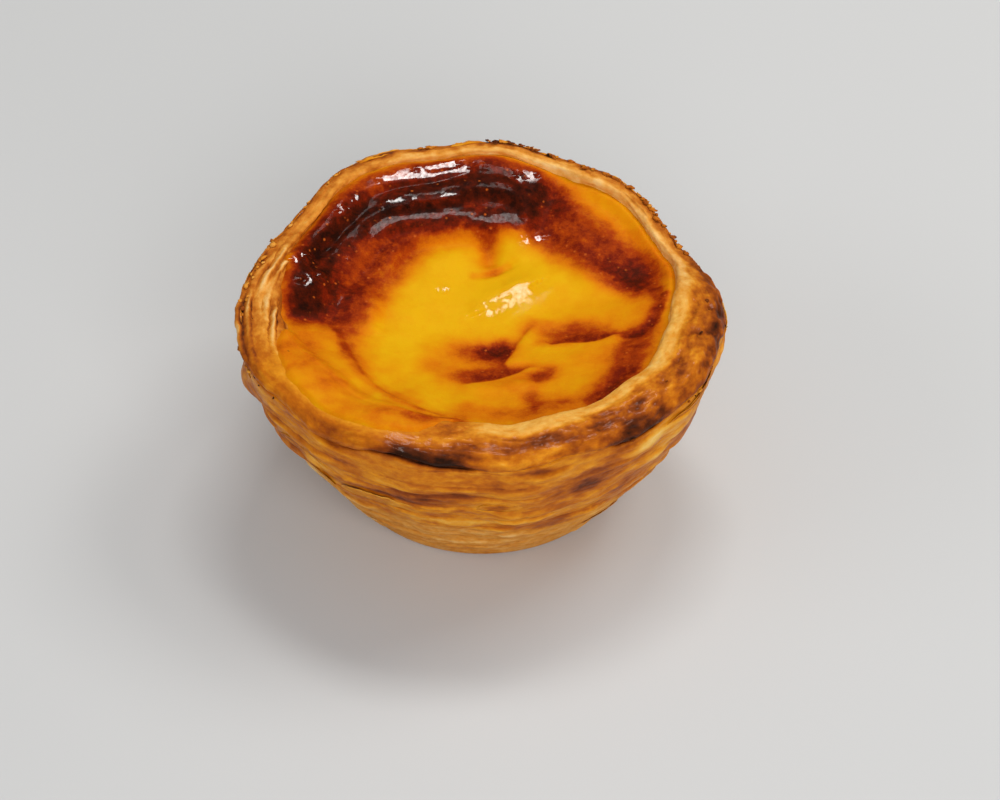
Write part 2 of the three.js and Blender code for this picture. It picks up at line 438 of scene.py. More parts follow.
# Bumps and hollows: x, y, length, width, turn, rise
BUMPS = [
    (-6, 15, 5.4, 3, 12, 0.7), (5.6, 17.6, 3.2, 2.4, 20, 0.7), (6.6, 8.6, 8, 4.4, 25, 1.2),
    (-8.6, 9, 6.6, 5.4, 0, 0.8), (-12.5, 2, 5, 6, 20, 0.4), (1.6, -4.6, 4, 2.2, -10, -0.5),
    (13.6, -0.6, 4.6, 1.8, -6, -0.4), (14.3, -8.4, 4.6, 2.6, 0, 0.4), (25.4, 11.6, 3, 3.4, 0, -0.5),
    (7.4, -18.4, 1.6, 2.6, 0, -0.3), (-2.4, -18.3, 4.6, 2.4, 0, 0.3), (-16.6, -11.4, 3.2, 3, 0, -0.3),
    (16, 20, 5, 2.6, -40, 0.4), (13.5, 29.4, 2.4, 1.8, -30, 0.5),
]
# Ledges of wet skin, each a flat slope: half width, tilt in degrees, how wet, and the middle
# line, drawn with the low side on its right
LEDGES = [
    (1.2, 16.6, 1, [(-16, 28.4), (-12.6, 29.2), (-9.2, 29.8), (-6, 30.8), (-2.8, 31.8)]),
    (1.1, 16.4, 1, [(-10, 30.9), (-7, 31.8), (-4.6, 32.4)]),
    (0.7, 16.2, 1, [(-14.8, 24.2), (-11, 24.5), (-8.3, 24.9), (-4.1, 26.2)]),
    (1.1, 16.2, 1, [(-14.9, 23.9), (-12, 24.2)]), (1.1, 16, 0.9, [(6, 30.3), (8, 30.9)]),
    (1.1, 15, 0.9, [(7.2, 19.5), (9.1, 19.9)]), (0.9, 16.5, 0.9, [(-22.4, 21), (-21.4, 21.6)]),
    (0.8, 16.5, 0.9, [(-20.8, 23.4), (-20, 23.9)]), (1.8, 16.3, 1, [(-29.3, 9), (-28.2, 9.6)]),
    (1.6, 16.2, 1, [(-26.9, 5.4), (-25.7, 6.1)]), (0.7, 14.6, 0.5, [(-6.8, 8.5), (-5.9, 8.8)]),
    (2.4, 14.3, 0.42, [(0.8, 4.8), (3.8, 6.6), (7, 8.8)]),
    (1.2, 16.3, 0.15, [(-17.6, 19), (-13.4, 21.6), (-8.6, 23), (-4, 22.9), (0.6, 22.2), (5.6, 23.2)]),
]
# The custard's skin runs out over the lip along the front left: arc from and to, reach
OVERFLOW_ARC = (-172, -94)
OVERFLOW_REACH = 6.2
# How wet the dark ring is between its ledges
RING_WETNESS = 0.06

# Browning, with painted shade in the creases and grooves marked below: half width, strength, places. 0
# is yellow and 1 is nearly black.
BROWN_AND_SHADE_BANDS = [
    (6.4, 0.66, [(-29.4, 5), (-28.8, 11), (-24.8, 18.6), (-18, 24.8), (-9.8, 29), (0, 30.2),
                 (6.6, 29)]),
    (2.6, 0.56, [(-27.6, 5.4), (-26.6, 11), (-22.6, 17.8), (-16.4, 23.4), (-9, 27), (0, 28.2),
                 (6.8, 27)]),
    # Painted shade: a dark line along the crease in the ring.
    (0.8, 0.6, [(-24.4, 9), (-22.8, 15.4), (-18.4, 21.2), (-11.6, 25.4), (-3, 26.4), (5, 25.6)]),
    (3.2, 0.45, [(-21.6, 7), (-19.4, 12.8), (-15.2, 18.2), (-9, 22.4), (-2, 23.8), (5, 24)]),
    (3.6, 0.38, [(-20.6, -1), (-18.4, 5), (-15.4, 11.6), (-11, 17.4), (-5.6, 20.4), (1, 21.6)]),
    (5, 0.56, [(9.6, 24), (14, 20.8), (18.4, 16.6), (22.6, 12.6)]),
    (3, 0.34, [(9, 19.4), (13.2, 16.2), (18.6, 12), (23.4, 9)]),
    (6, 0.26, [(15.6, 27.6), (21.6, 22), (26.6, 15.4), (28.8, 8), (28.2, 0)]),
    # This band and the next are painted shade down the valley and the crease of the notch between the
    # two yellow lobes.
    (1.7, 0.24, [(0.2, 21.4), (0.9, 18), (1.4, 15.2), (1.8, 13.6)]),
    (0.9, 0.22, [(-1.4, 12.2), (0.8, 12.6), (2.6, 13.4), (4.4, 14.5)]),
    (2.9, 0.4, [(8.4, 0.4), (12.6, -0.8), (17.4, -2)]),
    # Painted shade: the first band here lies in the crease in front of the brown patch, the second along
    # the right-hand crease.
    (1.2, 0.3, [(9, -3.4), (13.6, -4), (18.6, -3.2)]), (1.3, 0.34, [(27.4, 7), (27.6, 3), (25.6, -2)]),
    (3, 0.34, [(-2, -22), (5, -23.2), (12.4, -21.6)]),
    (3.4, 0.22, [(-18.4, 5), (-16.4, 10.6), (-12, 15)]),
    # Painted shade along the right-hand crease.
    (0.9, 0.24, [(28.6, 4.4), (27.6, 1.6), (26, -2), (24.2, -4.2), (20.4, -3)]),
    # Painted shade: this band fills the deep groove between the left fold and the inner slope, and the
    # next fills the foot of the lower ledge's steep drop.
    (0.9, 0.66, [(-15.4, 22.6), (-18.4, 22.2), (-22.2, 18.4), (-25, 14.6), (-26.1, 12.2),
                 (-26.6, 9.8)]),
    (0.7, 0.6, [(-15.6, 22.9), (-11, 23.4), (-7.4, 24), (-3.6, 24.8)]),
    (2, 0.42, [(-19.6, 18), (-13.4, 21.2), (-7, 22.8), (-1, 22.6), (4.6, 23)]),
    (1.8, 0.36, [(-21.4, 15), (-23.4, 10.4), (-23.6, 6)]),
    (3.6, 0.5, [(24, -5), (22.8, -11), (20.4, -16), (17.6, -19.4)]),
    (1.7, 0.34, [(22.6, -13.4), (19.4, -18.2), (16.8, -20.4)]),
    (2.2, 0.22, [(-8, -9), (-2, -11.6), (3.4, -11.4), (9.6, -11.4)]),
    (1, 0.2, [(-22.2, -3), (-20.4, -9), (-17.4, -15.2), (-12, -20.4), (-6, -23.2)]),
    (4.6, 0.2, [(-29, -10), (-25, -17), (-19, -23.6), (-12, -28), (-5, -29.6)]),
    (1.1, 0.2, [(-20.6, -6), (-17.4, -12.8), (-12.6, -18.2), (-7.8, -21.6), (-3, -23.8)]),
    (0.8, 0.2, [(-9, -24.6), (-0.2, -26.2), (6, -26.4), (11.5, -25.4), (16.6, -22.2)]),
]
# Browned spots, one marked below as painted shade: x, y, length, width, turn, strength
BROWN_AND_SHADE_SPOTS = [
    # The third spot on this line darkens the knob's front end as painted shade.
    (2.8, -4.9, 3, 2.2, 30, 0.62), (0.6, -4.3, 5.6, 3, -6, 0.6), (-27, 1.3, 2.8, 1.9, 0, 0.66),
    (-1, 30, 7, 4, 0, 0.34), (5, 27, 6, 4.6, 0, 0.3), (2, -10.4, 6, 3, 8, 0.36),
    (-5, -5.6, 4.6, 2.8, 6, 0.24), (13, -2.2, 4.4, 2.2, -8, 0.26), (9.2, -11.4, 2.3, 1.6, 8, 0.38),
    (7.8, -18.6, 1.7, 4.6, 0, 0.36), (12.4, -19, 2.2, 2.6, 0, 0.22), (25, 10.8, 4, 4.4, 0, 0.5),
    (24, 5.6, 3.4, 2, -50, 0.16), (-14, -11.2, 3, 2.6, 0, 0.12), (-11.8, -17.6, 3.2, 3.4, 0, 0.26),
    (-29, -5.4, 4.4, 6.4, 0, 0.32), (-8.8, -26, 5, 2.6, -8, 0.32), (-26.8, 2.2, 5.2, 4.2, 0, 0.62),
    (-19.4, -7, 3.4, 5.4, 8, 0.32), (-21.4, 2.4, 3.4, 5.4, 8, 0.34), (-24, -16, 6, 6, 0, 0.14),
    (18.6, -8, 6.4, 6, 0, 0.32), (5, -19, 9, 5.4, 0, 0.22), (-1, -11, 9, 5, 0, 0.18),
    (18, 2, 8, 5.4, -20, 0.24), (8, -14, 12, 8, 5, 0.14), (-13.6, 14, 3, 5, 40, 0.1),
    (1, -12, 6, 3.4, 0, 0.14), (1, 16.4, 3, 3.6, 0, 0.18), (12, 27.4, 4, 2.6, -30, 0.22),
    (-14.2, 4, 2.4, 5, 0, 0.14),
]
SKIN_BROWNING = 0.15
CUSTARD_GRID = 306
CUSTARD_TUCK = 0.7
SIDE_TAPER = 0.96
SIDE_DEPTH = 4.0
FLOOR_DEPTH = 12.0


def disc_grid(count):
    """A square grid wrapped onto a disc: share out to the edge, and angle, of each point."""
    line = np.linspace(-1, 1, count)
    a, b = np.meshgrid(line, line)
    wide = np.abs(a) > np.abs(b)
    safe_a, safe_b = np.where(a == 0, 1, a), np.where(b == 0, 1, b)
    turn = np.where(wide, b / safe_a * 45, 90 - a / safe_b * 45)
    out = np.where(wide, a, b)
    turn = np.where(out == 0, 0, turn)
    turn = np.where(out < 0, turn + 180, turn)
    return np.abs(out), turn_from(turn, 0), a, b


def ring_table():
    """The ring's height for every degree and every tenth of a millimetre in, smoothed."""
    angles = [angle for angle, _ in RING_SECTIONS]
    sections = np.array([section for _, section in RING_SECTIONS])
    insets = np.arange(0, RING_REACH, 0.1)
    rows = []
    for angle in range(360):
        places = [[np.interp(angle, angles, sections[:, k, axis]) for axis in (0, 1)]
                  for k in range(sections.shape[1])]
        rows.append(np.interp(insets, *np.transpose(places)))
    table = np.array(rows)
    for axis, spread in ((1, 3.2), (0, 2.2)):
        steps = np.arange(-8, 9)
        weights = bell(steps, spread)
        ends = [(8, 8) if a == axis else (0, 0) for a in (0, 1)]
        padded = np.pad(table, ends, mode="edge")
        table = sum(w * np.roll(padded, s, axis) for s, w in zip(steps, weights)) / weights.sum()
        table = table[8:-8] if axis == 0 else table[:, 8:-8]
    return table


def ring_height(degrees, inset):
    """Height of the dark ring over the fill line."""
    table = ring_table()
    row = np.clip(degrees % 360, 0, 358.99)
    column = np.clip(inset / 0.1, 0, table.shape[1] - 1.01)
    i, j = row.astype(int), column.astype(int)
    u, v = row - i, column - j
    return (table[i, j] * (1 - u) * (1 - v) + table[i + 1, j] * u * (1 - v)
            + table[i, j + 1] * (1 - u) * v + table[i + 1, j + 1] * u * v)


def overlap_sides(x, y, points):
    """Distance onto the upper sheet (+) or the lower (-), and the fade at the edge's ends."""
    gap, share, side = from_curve(x, y, points)
    return gap * np.sign(side), ends_fade(share, 0.2)


def custard_relief(x, y, degrees, inset):
    """What stands above or below the custard's plain dish, in millimetres."""
    relief = 0 * x
    for at, width, start, end, rise in EDGE_FOLDS:
        wave = 0.5 * ring_noise(degrees, at, 14, 31)
        relief += rise * bell(inset - at - wave, width) * arc_window(degrees, start, end, FOLD_FADE)
    for width, rise, points in FREE_FOLDS:
        gap, share, _ = from_curve(x, y, points)
        relief += rise * bell(gap, width) * ends_fade(share, 0.3)
    for rise, reach, _, points in OVERLAPS:
        onto, fade = overlap_sides(x, y, points)
        relief += rise * ease(0.5 + onto / 1.3) * bell(np.maximum(onto, 0), reach) * fade
    uneven = shaken(x, y, 0.6, 11)
    for *place, rise in BUMPS:
        relief += rise * oval(*uneven, place)
    gap, share, side = from_curve(x, y, SHELF_LINE)
    step = ease(gap / SHELF_WIDTH) * bell(gap, SHELF_REACH) * (side < 0)
    return relief + SHELF_RISE * step * ends_fade(share, 0.2)


def custard_browning_and_shade(x, y):
    """How brown each place is, from the bands and spots with softly broken edges, with painted shade in
    some of them and painted light and shade along the overlapping edges.
    """
    wx, wy = shaken(x, y, 0.9, 51)
    wx += 0.3 * flat_noise(x, y, 1, 53)
    wy += 0.3 * flat_noise(x, y, 1, 54)
    kept = 1
    for half_width, strength, points in BROWN_AND_SHADE_BANDS:
        kept = kept * (1 - strength * plateau(from_curve(wx, wy, points)[0], half_width))
    for *place, strength in BROWN_AND_SHADE_SPOTS:
        kept = kept * (1 - strength * oval(wx, wy, place))
    gap, share, side = from_curve(x, y, SHELF_LINE)
    skin = ease((gap + 0.6) / 2.4) * (side < 0) * ends_fade(share, 0.05)
    kept = kept * (1 - (SKIN_BROWNING + 0.2 * flat_noise(x, y, 3.4, 55, 2)) * skin)
    # Painted light and shade at each overlapping edge: the raised sheet is painted lighter near its
    # edge, and the skin at the edge's foot is painted darker, as shade.
    for _, _, dark, points in OVERLAPS:
        onto, fade = overlap_sides(x, y, points)
        above = ease(0.5 + onto / 0.9) * bell(np.maximum(onto, 0), 2.4) * fade
        below = ease(0.5 - onto / 0.7) * bell(np.minimum(onto, 0), 1.1) * fade
        kept = (1 - (1 - kept) * (1 - 0.38 * above)) * (1 - dark * below)
    return 1 - kept


def tilt_ledges(x, y, height):
    """Turn the skin along each ledge into a flat slope at the ledge's own tilt."""
    for half_width, tilt, _, points in LEDGES:
        line = curve_through(points)
        levels = [height.flat[np.argmin(np.hypot(x - px, y - py))] for px, py in line]
        fitted = np.polyfit(np.linspace(0, 1, len(line)), levels, 2)
        gap, share, side = from_curve(x, y, points)
        plane = np.polyval(fitted, share) + math.tan(math.radians(tilt)) * gap * np.sign(side)
        height = height + plateau(gap, half_width, 2.5) * (plane - height)
    return height


def wetness(x, y, degrees, inset):
    """How wet the skin looks: most on the ledges, some along the back, none elsewhere."""
    wet = RING_WETNESS * arc_window(degrees, 66, 182, 16) * ease((12 - inset) / 3)
    for half_width, _, wettest, points in LEDGES:
        wet = np.maximum(wet, wettest * plateau(from_curve(x, y, points)[0], half_width))
    return wet * (0.35 + 0.65 * ease(0.6 + 2 * flat_noise(x, y, 0.55, 72, 2)))


def lip_top(degrees, inward):
    """Height of the lip's upper side, at a share of its width in from the outer edge."""
    rows = [row for row in LIP_SECTION if row[3] > -0.6 and row[1] > 0]
    inwards, ups, _, extra = np.transpose(rows)
    drop = rim_height(degrees) - edge_height(degrees)
    more = np.interp(inward, inwards, extra) * (0.55 + 0.45 * lip_thickness(degrees))
    return edge_height(degrees) + np.interp(inward, inwards, ups) * drop + more


def dish_height(degrees, radius):
    """The plain dish: at the fill line along the edge, and deeper towards the middle."""
    share = np.minimum(radius / fill_radius(degrees), 1)
    centre = RIM_HEIGHT - FILL_DROP
    height = centre + (fill_height(degrees) - centre) * share ** 2
    return height - DISH_DEPTH * (1 - share ** 2)


def with_ring(height, x, y, degrees, inset):
    """The height with the raised dark ring along the back set into it."""
    on_ring = arc_window(degrees, *RING_ARC, RING_ARC_FADE) * ease((RING_REACH - inset) / 3)
    jitter = 0.55 * ring_noise(degrees, inset / 7, 13, 66)
    inset = inset + sum_of_bells(LIP_SWELLS, degrees) + jitter
    ring = fill_height(degrees) + ring_height(degrees, inset) + 0.17 * flat_noise(x, y, 4.4, 67, 2)
    return height + on_ring * (ring - height)


def with_overflow(height, x, y, degrees, inset, beyond, over):
    """The height where the skin has run out over the lip. beyond is how far past its edge."""
    top = lip_top(degrees, 1 + inset / lip_width(degrees)) + 0.22 - 0.5 * ease((beyond + 1.6) / 1.6)
    top += 0.12 * flat_noise(x, y, 3, 68, 2)
    onto_lip = ease(over / 0.12) * ease((2 - inset) / 2.4)
    return height + onto_lip * (np.maximum(top, height * (inset > 0)) - height)


def custard_points():
    """The custard's top as a grid of points, with how brown and how shaded each place is, its wetness
    and its map places.
    """
    out, degrees, a, b = disc_grid(CUSTARD_GRID)
    over = arc_window(degrees, *OVERFLOW_ARC, 26) * (1 + 0.22 * ring_noise(degrees, 0, 22, 65))
    edge = fill_radius(degrees) + CUSTARD_TUCK + OVERFLOW_REACH * over
    radius = edge * out
    inset = fill_radius(degrees) - radius
    x, y = radius * np.cos(np.radians(degrees)), radius * np.sin(np.radians(degrees))
    browning_and_shade = custard_browning_and_shade(x, y)
    dark = ease((browning_and_shade - 0.5) / 0.3)
    height = dish_height(degrees, radius)
    height += ease((inset + 0.3) / 1.6) * custard_relief(x, y, degrees, inset)
    height = with_ring(height, x, y, degrees, inset)
    height += 0.2 * flat_noise(x, y, 6, 61, 2)
    height += 0.03 * flat_noise(x, y, 1.2, 62) * (0.3 + dark)
    height += 0.05 * ring_noise(degrees, inset / 1.1, 60, 63, 2) * dark
    height = tilt_ledges(x, y, height) + 0.024 * flat_noise(x, y, 0.9, 70, 2)
    height = with_overflow(height, x, y, degrees, inset, radius - edge, over)
    edge_wave = 0.5 * ring_noise(degrees, inset / 4, 22, 71)
    rind = arc_window(degrees, 56, 204, 16) * bell(np.maximum(inset + edge_wave, 0), 1.5)
    browning_and_shade = browning_and_shade * (1 - 0.34 * rind) + 0.12 * dark * flat_noise(x, y, 1.5, 69)
    return np.stack([x, y, height], -1), browning_and_shade, wetness(x, y, degrees, inset), a, b


def custard_uv(place, top_corners, count):
    """The top takes most of the map, and the hidden sides and floor a strip of their own."""
    top = 0.005 + 0.94 * (0.5 + 0.5 * place[top_corners])
    start = np.arange(count) / count
    end = (np.arange(count) + 1) / count
    low, high, peak = (np.full(count, v) for v in (0.955, 0.97, 0.99))
    side = np.stack([end, low, start, low, start, high, end, high], 1)
    floor = np.stack([end, high, start, high, (start + end) / 2, peak], 1)
    return np.vstack([top, side.reshape(-1, 2), floor.reshape(-1, 2)])


def make_custard(material):
    """The filling: its finely modelled top, and plain sides that go down inside the cup."""
    points, browning_and_shade, wet, a, b = custard_points()
    index = np.arange(points[..., 0].size).reshape(a.shape)
    top, rim = quads(index), border(index)
    below = index.size + np.arange(len(rim))
    middle = np.full(len(rim), index.size + len(rim))
    floor = np.stack([np.roll(below, -1), below, middle], 1)
    flat = points.reshape(-1, 3)
    low = flat[rim] * [SIDE_TAPER, SIDE_TAPER, 1] - [0, 0, SIDE_DEPTH]
    bottom = [[0, 0, flat[rim, 2].mean() - FLOOR_DEPTH]]
    attributes = {key: np.concatenate([values.ravel(), values.ravel()[rim], [0.3]])
                  for key, values in (("browning_and_shade", browning_and_shade), ("wet", wet))}
    uv = custard_uv(np.stack([a.ravel(), b.ravel()], 1), top.ravel(), len(rim))
    faces = top.tolist() + skirt(rim, below).tolist() + floor.tolist()
    flat = np.vstack([flat, low, bottom])
    return make_object("custard_filling", flat, faces, attributes, uv, material)


# ---------------------------------------------------------------- the pastry cup
AROUND = 600
WALL_ROWS = 132
LIP_ROWS = 150
BASE_RINGS = [3, 7, 11, 14.5, 17.5, 20, 21.2]
WALL_LENGTH = 38.0
COARSE_LAYER = 3.3
FINE_LAYER = 1.15
COARSE_RELIEF = 0.45
FINE_RELIEF = 0.10
WALL_TOP = 2.2
# Length along the wall of one degree round it
MM_PER_DEGREE = 0.6

# Slits under the lip: where they start and end, and how far the lip hangs clear, mm, which also scales
# the painted shade inside them
SLITS = [(-134, -86, 0.5), (-116, -88, 0.8), (-61, -39, 1)]
SLIT_FADE = 8

# Marks on the outer wall: angle, height, half angle, half height, turn, strength.
DARK_MARKS = [
    (-107, 22.6, 8, 1.5, 3, 0.26), (-97, 23.6, 6, 1.2, 0, 0.16), (-62, 23, 6, 2.2, 0, 0.26),
    (-68, 13.5, 5, 1.6, 12, 0.14), (-51, 17.5, 5, 1.8, 24, 0.2), (-118, 21.4, 18, 0.5, -2, 0.22),
    (-85, 27, 7, 0.9, -6, 0.14), (-75, 29.2, 6, 1, -10, 0.18), (-54, 29, 7, 1.5, 12, 0.26),
    (-124, 26.6, 4, 2, 0, 0.14), (-20, 22, 9, 1.8, 10, 0.18), (150, 24, 12, 1.8, 0, 0.18),
    (95, 27, 16, 1.7, 4, 0.2), (40, 22, 12, 1.8, 0, 0.2), (70, 15, 12, 1.6, 0, 0.14),
    (-170, 19, 10, 1.8, -8, 0.18), (120, 17, 10, 1.5, 0, 0.14), (10, 27, 10, 1.8, 0, 0.2),
]
PALE_MARKS = [
    (-47, 28.2, 5, 1.3, 4, 0.34), (-138, 23, 8, 1, -14, 0.3), (-97, 16, 16, 0.7, 2, 0.2),
    (-90, 20.8, 6, 0.8, 0, 0.22), (-38, 24.6, 6, 2.2, 14, 0.14), (-114, 25.6, 6, 0.6, -4, 0.18),
    (20, 18, 14, 0.9, 4, 0.2), (170, 26, 10, 1, 0, 0.22), (100, 21, 16, 0.8, -4, 0.2),
    (60, 27, 9, 1.1, 0, 0.2), (-150, 13, 12, 0.9, 12, 0.18), (-15, 14, 12, 0.8, -8, 0.18),
]
# Where one broad layer lies smooth: angle, height, half angle, half height, turn, strength
SMOOTH_MARKS = [(-110, 28.2, 13, 2.4, 2, 1), (-47, 27.8, 7, 1.6, 4, 0.8), (-80, 25, 7, 1.2, 0, 0.4)]
# Sheets that stand out from the wall: angle, low edge, half angle, height, how far out
FLAPS = [
    (-178, 28.6, 7, 4.4, 0.9), (-168, 24.2, 8, 4.6, 2.2), (-140, 20.8, 12, 3.4, 0.4),
    (-50, 25.6, 10, 3.6, 0.5), (-112, 24.6, 14, 4, 0.5), (-70, 18, 12, 3, 0.35), (-24, 20, 12, 4, 0.5),
    (20, 24, 12, 4, 0.5), (70, 20, 14, 4, 0.5), (120, 24, 12, 4, 0.5), (160, 18, 12, 4, 0.5),
]
# How high the drier, paler foot of the wall comes: usual height, then where it climbs
FOOT_HEIGHT = 15.0
FOOT_CLIMBS = [(-150, 22, 2), (-60, 20, -3), (60, 40, 3), (150, 22, -2)]
FOOT_BAKE = 0.36
UPPER_BAKE = 0.50


def wall_marks(marks, degrees, height):
    total = 0
    for angle, level, half_angle, half_height, tilt, strength in marks:
        off = turn_from(degrees, angle)
        rise = height - level - math.tan(math.radians(tilt)) * off * MM_PER_DEGREE
        total = total + strength * bell(off, half_angle) * bell(rise, half_height)
    return total


def wall_flaps(degrees, height):
    total = 0
    for angle, low, half_angle, tall, rise in FLAPS:
        up = height - low - 0.5 * ring_noise(degrees, angle, 24, 176, 2)
        shape = ease(up / 0.5) * ease((tall - up) / tall)
        total = total + rise * bell(turn_from(degrees, angle), half_angle) * shape
    return total


def layer_pattern(degrees, along, spacing, seed):
    """Wandering layers: each place's share across its layer, and that layer's strength."""
    wander = (1.7 * ring_noise(degrees, along / 13, 4, seed)
              + 0.9 * ring_noise(degrees, along / 7, 13, seed + 1)
              + 0.3 * ring_noise(degrees, along / 2.5, 40, seed + 2))
    level = (along + wander) / spacing
    count = np.floor(level)
    strength = ease(0.35 + 1.7 * ring_noise(degrees, count * 7.31, 20, seed + 3, 2))
    return level - count, count, strength


def blotches(degrees, along, seed):
    """Soft patches stretched round the tart, about -1 to 1."""
    return (0.7 * ring_noise(degrees, along / 3.0, 26, seed, 2)
            + 0.6 * ring_noise(degrees, along / 1.3, 90, seed + 5, 2))


def ledge(share):
    """The section of one layer's edge: a slow swell to a lip, then a quick tuck."""
    return ease(share / 0.7) * ease((1 - share) / 0.24)


def slit_gap(degrees):
    wander = 4 * ring_noise(degrees, 0, 6, 77)
    return sum(depth * arc_window(degrees + wander, start, end, SLIT_FADE)
               for start, end, depth in SLITS)


def wall_radius(degrees, share):
    """The plain wall's radius, at a share of its height."""
    return BASE_RADIUS + (rim_radius(degrees) - BASE_RADIUS) * (1 - (1 - share) ** WALL_FLARE)


def wall_section(degrees):
    """Radius and height of the plain wall, from the base's middle to the cup's inside."""
    rim, edge = rim_radius(degrees), edge_height(degrees)
    width = np.minimum(WALL_TOP, lip_width(degrees) / 2)
    rows = [(radius, 0) for radius in BASE_RINGS]
    rows += [(BASE_RADIUS - 0.7, 0.14), (BASE_RADIUS - 0.2, 0.5)]
    for share in np.linspace(0, 1, WALL_ROWS) ** 0.9:
        up = BASE_CORNER_HEIGHT + (edge - BASE_CORNER_HEIGHT) * share
        rows.append((wall_radius(degrees, share), up))
    for inward, up in ((0.08, 0.22), (0.25, 0.4), (0.5, 0.45), (0.75, 0.36), (1, 0.1)):
        rows.append((rim - inward * width, edge + up - 0.9 * (1 - lip_thickness(degrees))))
    rows.append((rim - width - 0.7, edge - 1.6))
    rows.append((fill_radius(degrees) + 0.3, np.minimum(edge, fill_height(degrees)) - 4.5))
    rows.append((17, 6))
    return [np.array([row[k] + 0 * degrees for row in rows]) for k in (0, 1)]


def sheet_coordinates(degrees, along):
    """Places for fine noise that runs in streaks round the tart."""
    return to_points(RIM_RADIUS, 2 * along, degrees)


def wall_traits(degrees, height, along):
    """What each place on the wall is like: mostly 1 for fully so, and 0 for not at all."""
    share, count, strength = layer_pattern(degrees, along, COARSE_LAYER, 101)
    fine, _, fine_strength = layer_pattern(degrees, along, FINE_LAYER, 131)
    foot_top = FOOT_HEIGHT + sum_of_bells(FOOT_CLIMBS, degrees)
    above = height - edge_height(degrees)
    return SimpleNamespace(
        share=share, count=count, strength=strength, fine=fine, fine_strength=fine_strength,
        foot=ease((foot_top - height) / 2.5), smooth=wall_marks(SMOOTH_MARKS, degrees, height),
        patch=blotches(degrees, along, 181), under=bell(above - 0.2, 0.38) * slit_gap(degrees),
        top=ease((above + 2.2) / 2.2), thin=1 - lip_thickness(degrees))


def wall_relief(degrees, height, along, wall):
    """How far the wall stands out from its plain form, in millimetres."""
    rough, foot = 1 - wall.smooth, wall.foot
    relief = COARSE_RELIEF * wall.strength * ledge(wall.share) * (1 - 0.5 * foot) * rough
    relief += FINE_RELIEF * wall.fine_strength * ledge(wall.fine) * (1 - 0.6 * foot) * rough
    relief += 0.6 * ring_noise(degrees, along / 7, 13, 151) * (1 - 0.4 * foot)
    relief += 0.5 * wall.smooth - 0.25 * wall.patch * rough
    relief += 0.05 * ring_noise(degrees, along, 110, 161) * (1 - 0.6 * wall.smooth)
    return relief + wall_flaps(degrees, height) - 0.6 * wall.under


def wall_bake_and_shade(degrees, height, along, wall):
    """How dark the wall is baked, with painted light and shade on its layers and painted shade in the
    slits: 0 is pale and 1 is burnt.
    """
    foot, share = wall.foot, wall.share
    bake = FOOT_BAKE + (UPPER_BAKE - FOOT_BAKE) * (1 - foot)
    bake += 0.25 * wall.patch * (1 - 0.55 * foot) * (1 - 0.5 * wall.smooth)
    bake += 0.1 * ring_noise(degrees, wall.count * 3.7, 8, 182, 2) * (1 - 0.5 * foot)
    patchy = ease(0.4 + 1.6 * ring_noise(degrees, along / 4, 24, 185))
    # Painted light and shade on the layers: a paler painted highlight along each layer's crest, painted
    # shade in the tuck at each layer's edge, and a fainter painted highlight along the finer layers'
    # crests.
    bake -= 0.2 * wall.strength * bell(share - 0.72, 0.09) * patchy
    bake += 0.13 * wall.strength * (bell(share, 0.1) + bell(share - 1, 0.1)) * (1 - 0.6 * foot)
    bake -= 0.07 * wall.fine_strength * bell(wall.fine - 0.65, 0.16) * patchy * (1 - 0.5 * foot)
    bake += wall_marks(DARK_MARKS, degrees, height) - wall_marks(PALE_MARKS, degrees, height)
    crisp = ease(0.2 + 1.6 * ring_noise(degrees, along / 2, 40, 191)) * wall.top * wall.thin
    # The wall.under term is painted shade inside the slits under the lip.
    return bake - 0.01 * wall.smooth + 0.4 * wall.under + 0.28 * crisp


def make_wall(material):
    """The outer wall with its floor, its layers and flaps, and the inside of the cup."""
    degrees, radius, height, along = places_round(wall_section)
    along = along - along[len(BASE_RINGS)]
    wall = wall_traits(degrees, height, along)
    first = len(BASE_RINGS) + 2
    row = np.arange(len(radius))[:, None]
    on_wall = ease((row - first + 1) / 6) * ease((first + WALL_ROWS + 5 - row) / 3)
    points = to_points(radius, height, degrees)
    relief = wall_relief(degrees, height, along, wall) * on_wall
    points += normals_of(points, False) * relief[..., None]
    jag = 0.5 * ring_noise(degrees, 0, 60, 171) + 0.3 * ring_noise(degrees, 0, 150, 172)
    points[..., 2] += jag * wall.top * (0.25 + 0.75 * wall.thin) * on_wall
    points[..., 2] = np.maximum(points[..., 2], 0)
    butter = (1 - 0.75 * wall.foot) * ease(1 + 0.9 * ring_noise(degrees, along / 6, 12, 195))
    attributes = {"bake": wall_bake_and_shade(degrees, height, along, wall),
                  "butter": np.maximum(butter, wall.smooth),
                  "sheet": sheet_coordinates(degrees, along)}
    return turned_object("crust_wall", points, attributes, material, False)


LIP_LAYER = 1.35
CREAM_BAKE = 0.27
SKIN_BAKE = 0.37
# The lip's closed section, seen along the rim: share of its width in from the outer edge,
# share of the way up from that edge to the crest, then plain millimetres added to both
LIP_SECTION = [
    (0, -0.05, 0.85, -0.1), (0, 0.1, 0.05, 0), (0, 0.4, -0.05, 0), (0.13, 0.78, 0, 0), (0.32, 1, 0, 0),
    (0.52, 1.04, 0, 0), (0.74, 0.97, 0, 0), (0.92, 0.84, 0, -0.15), (1, 0.66, 0.05, -1),
    (1, 0.3, 0.2, -3.4), (0.8, 0, 0.1, -4.4), (0.35, 0, 0.5, -2.6),
]
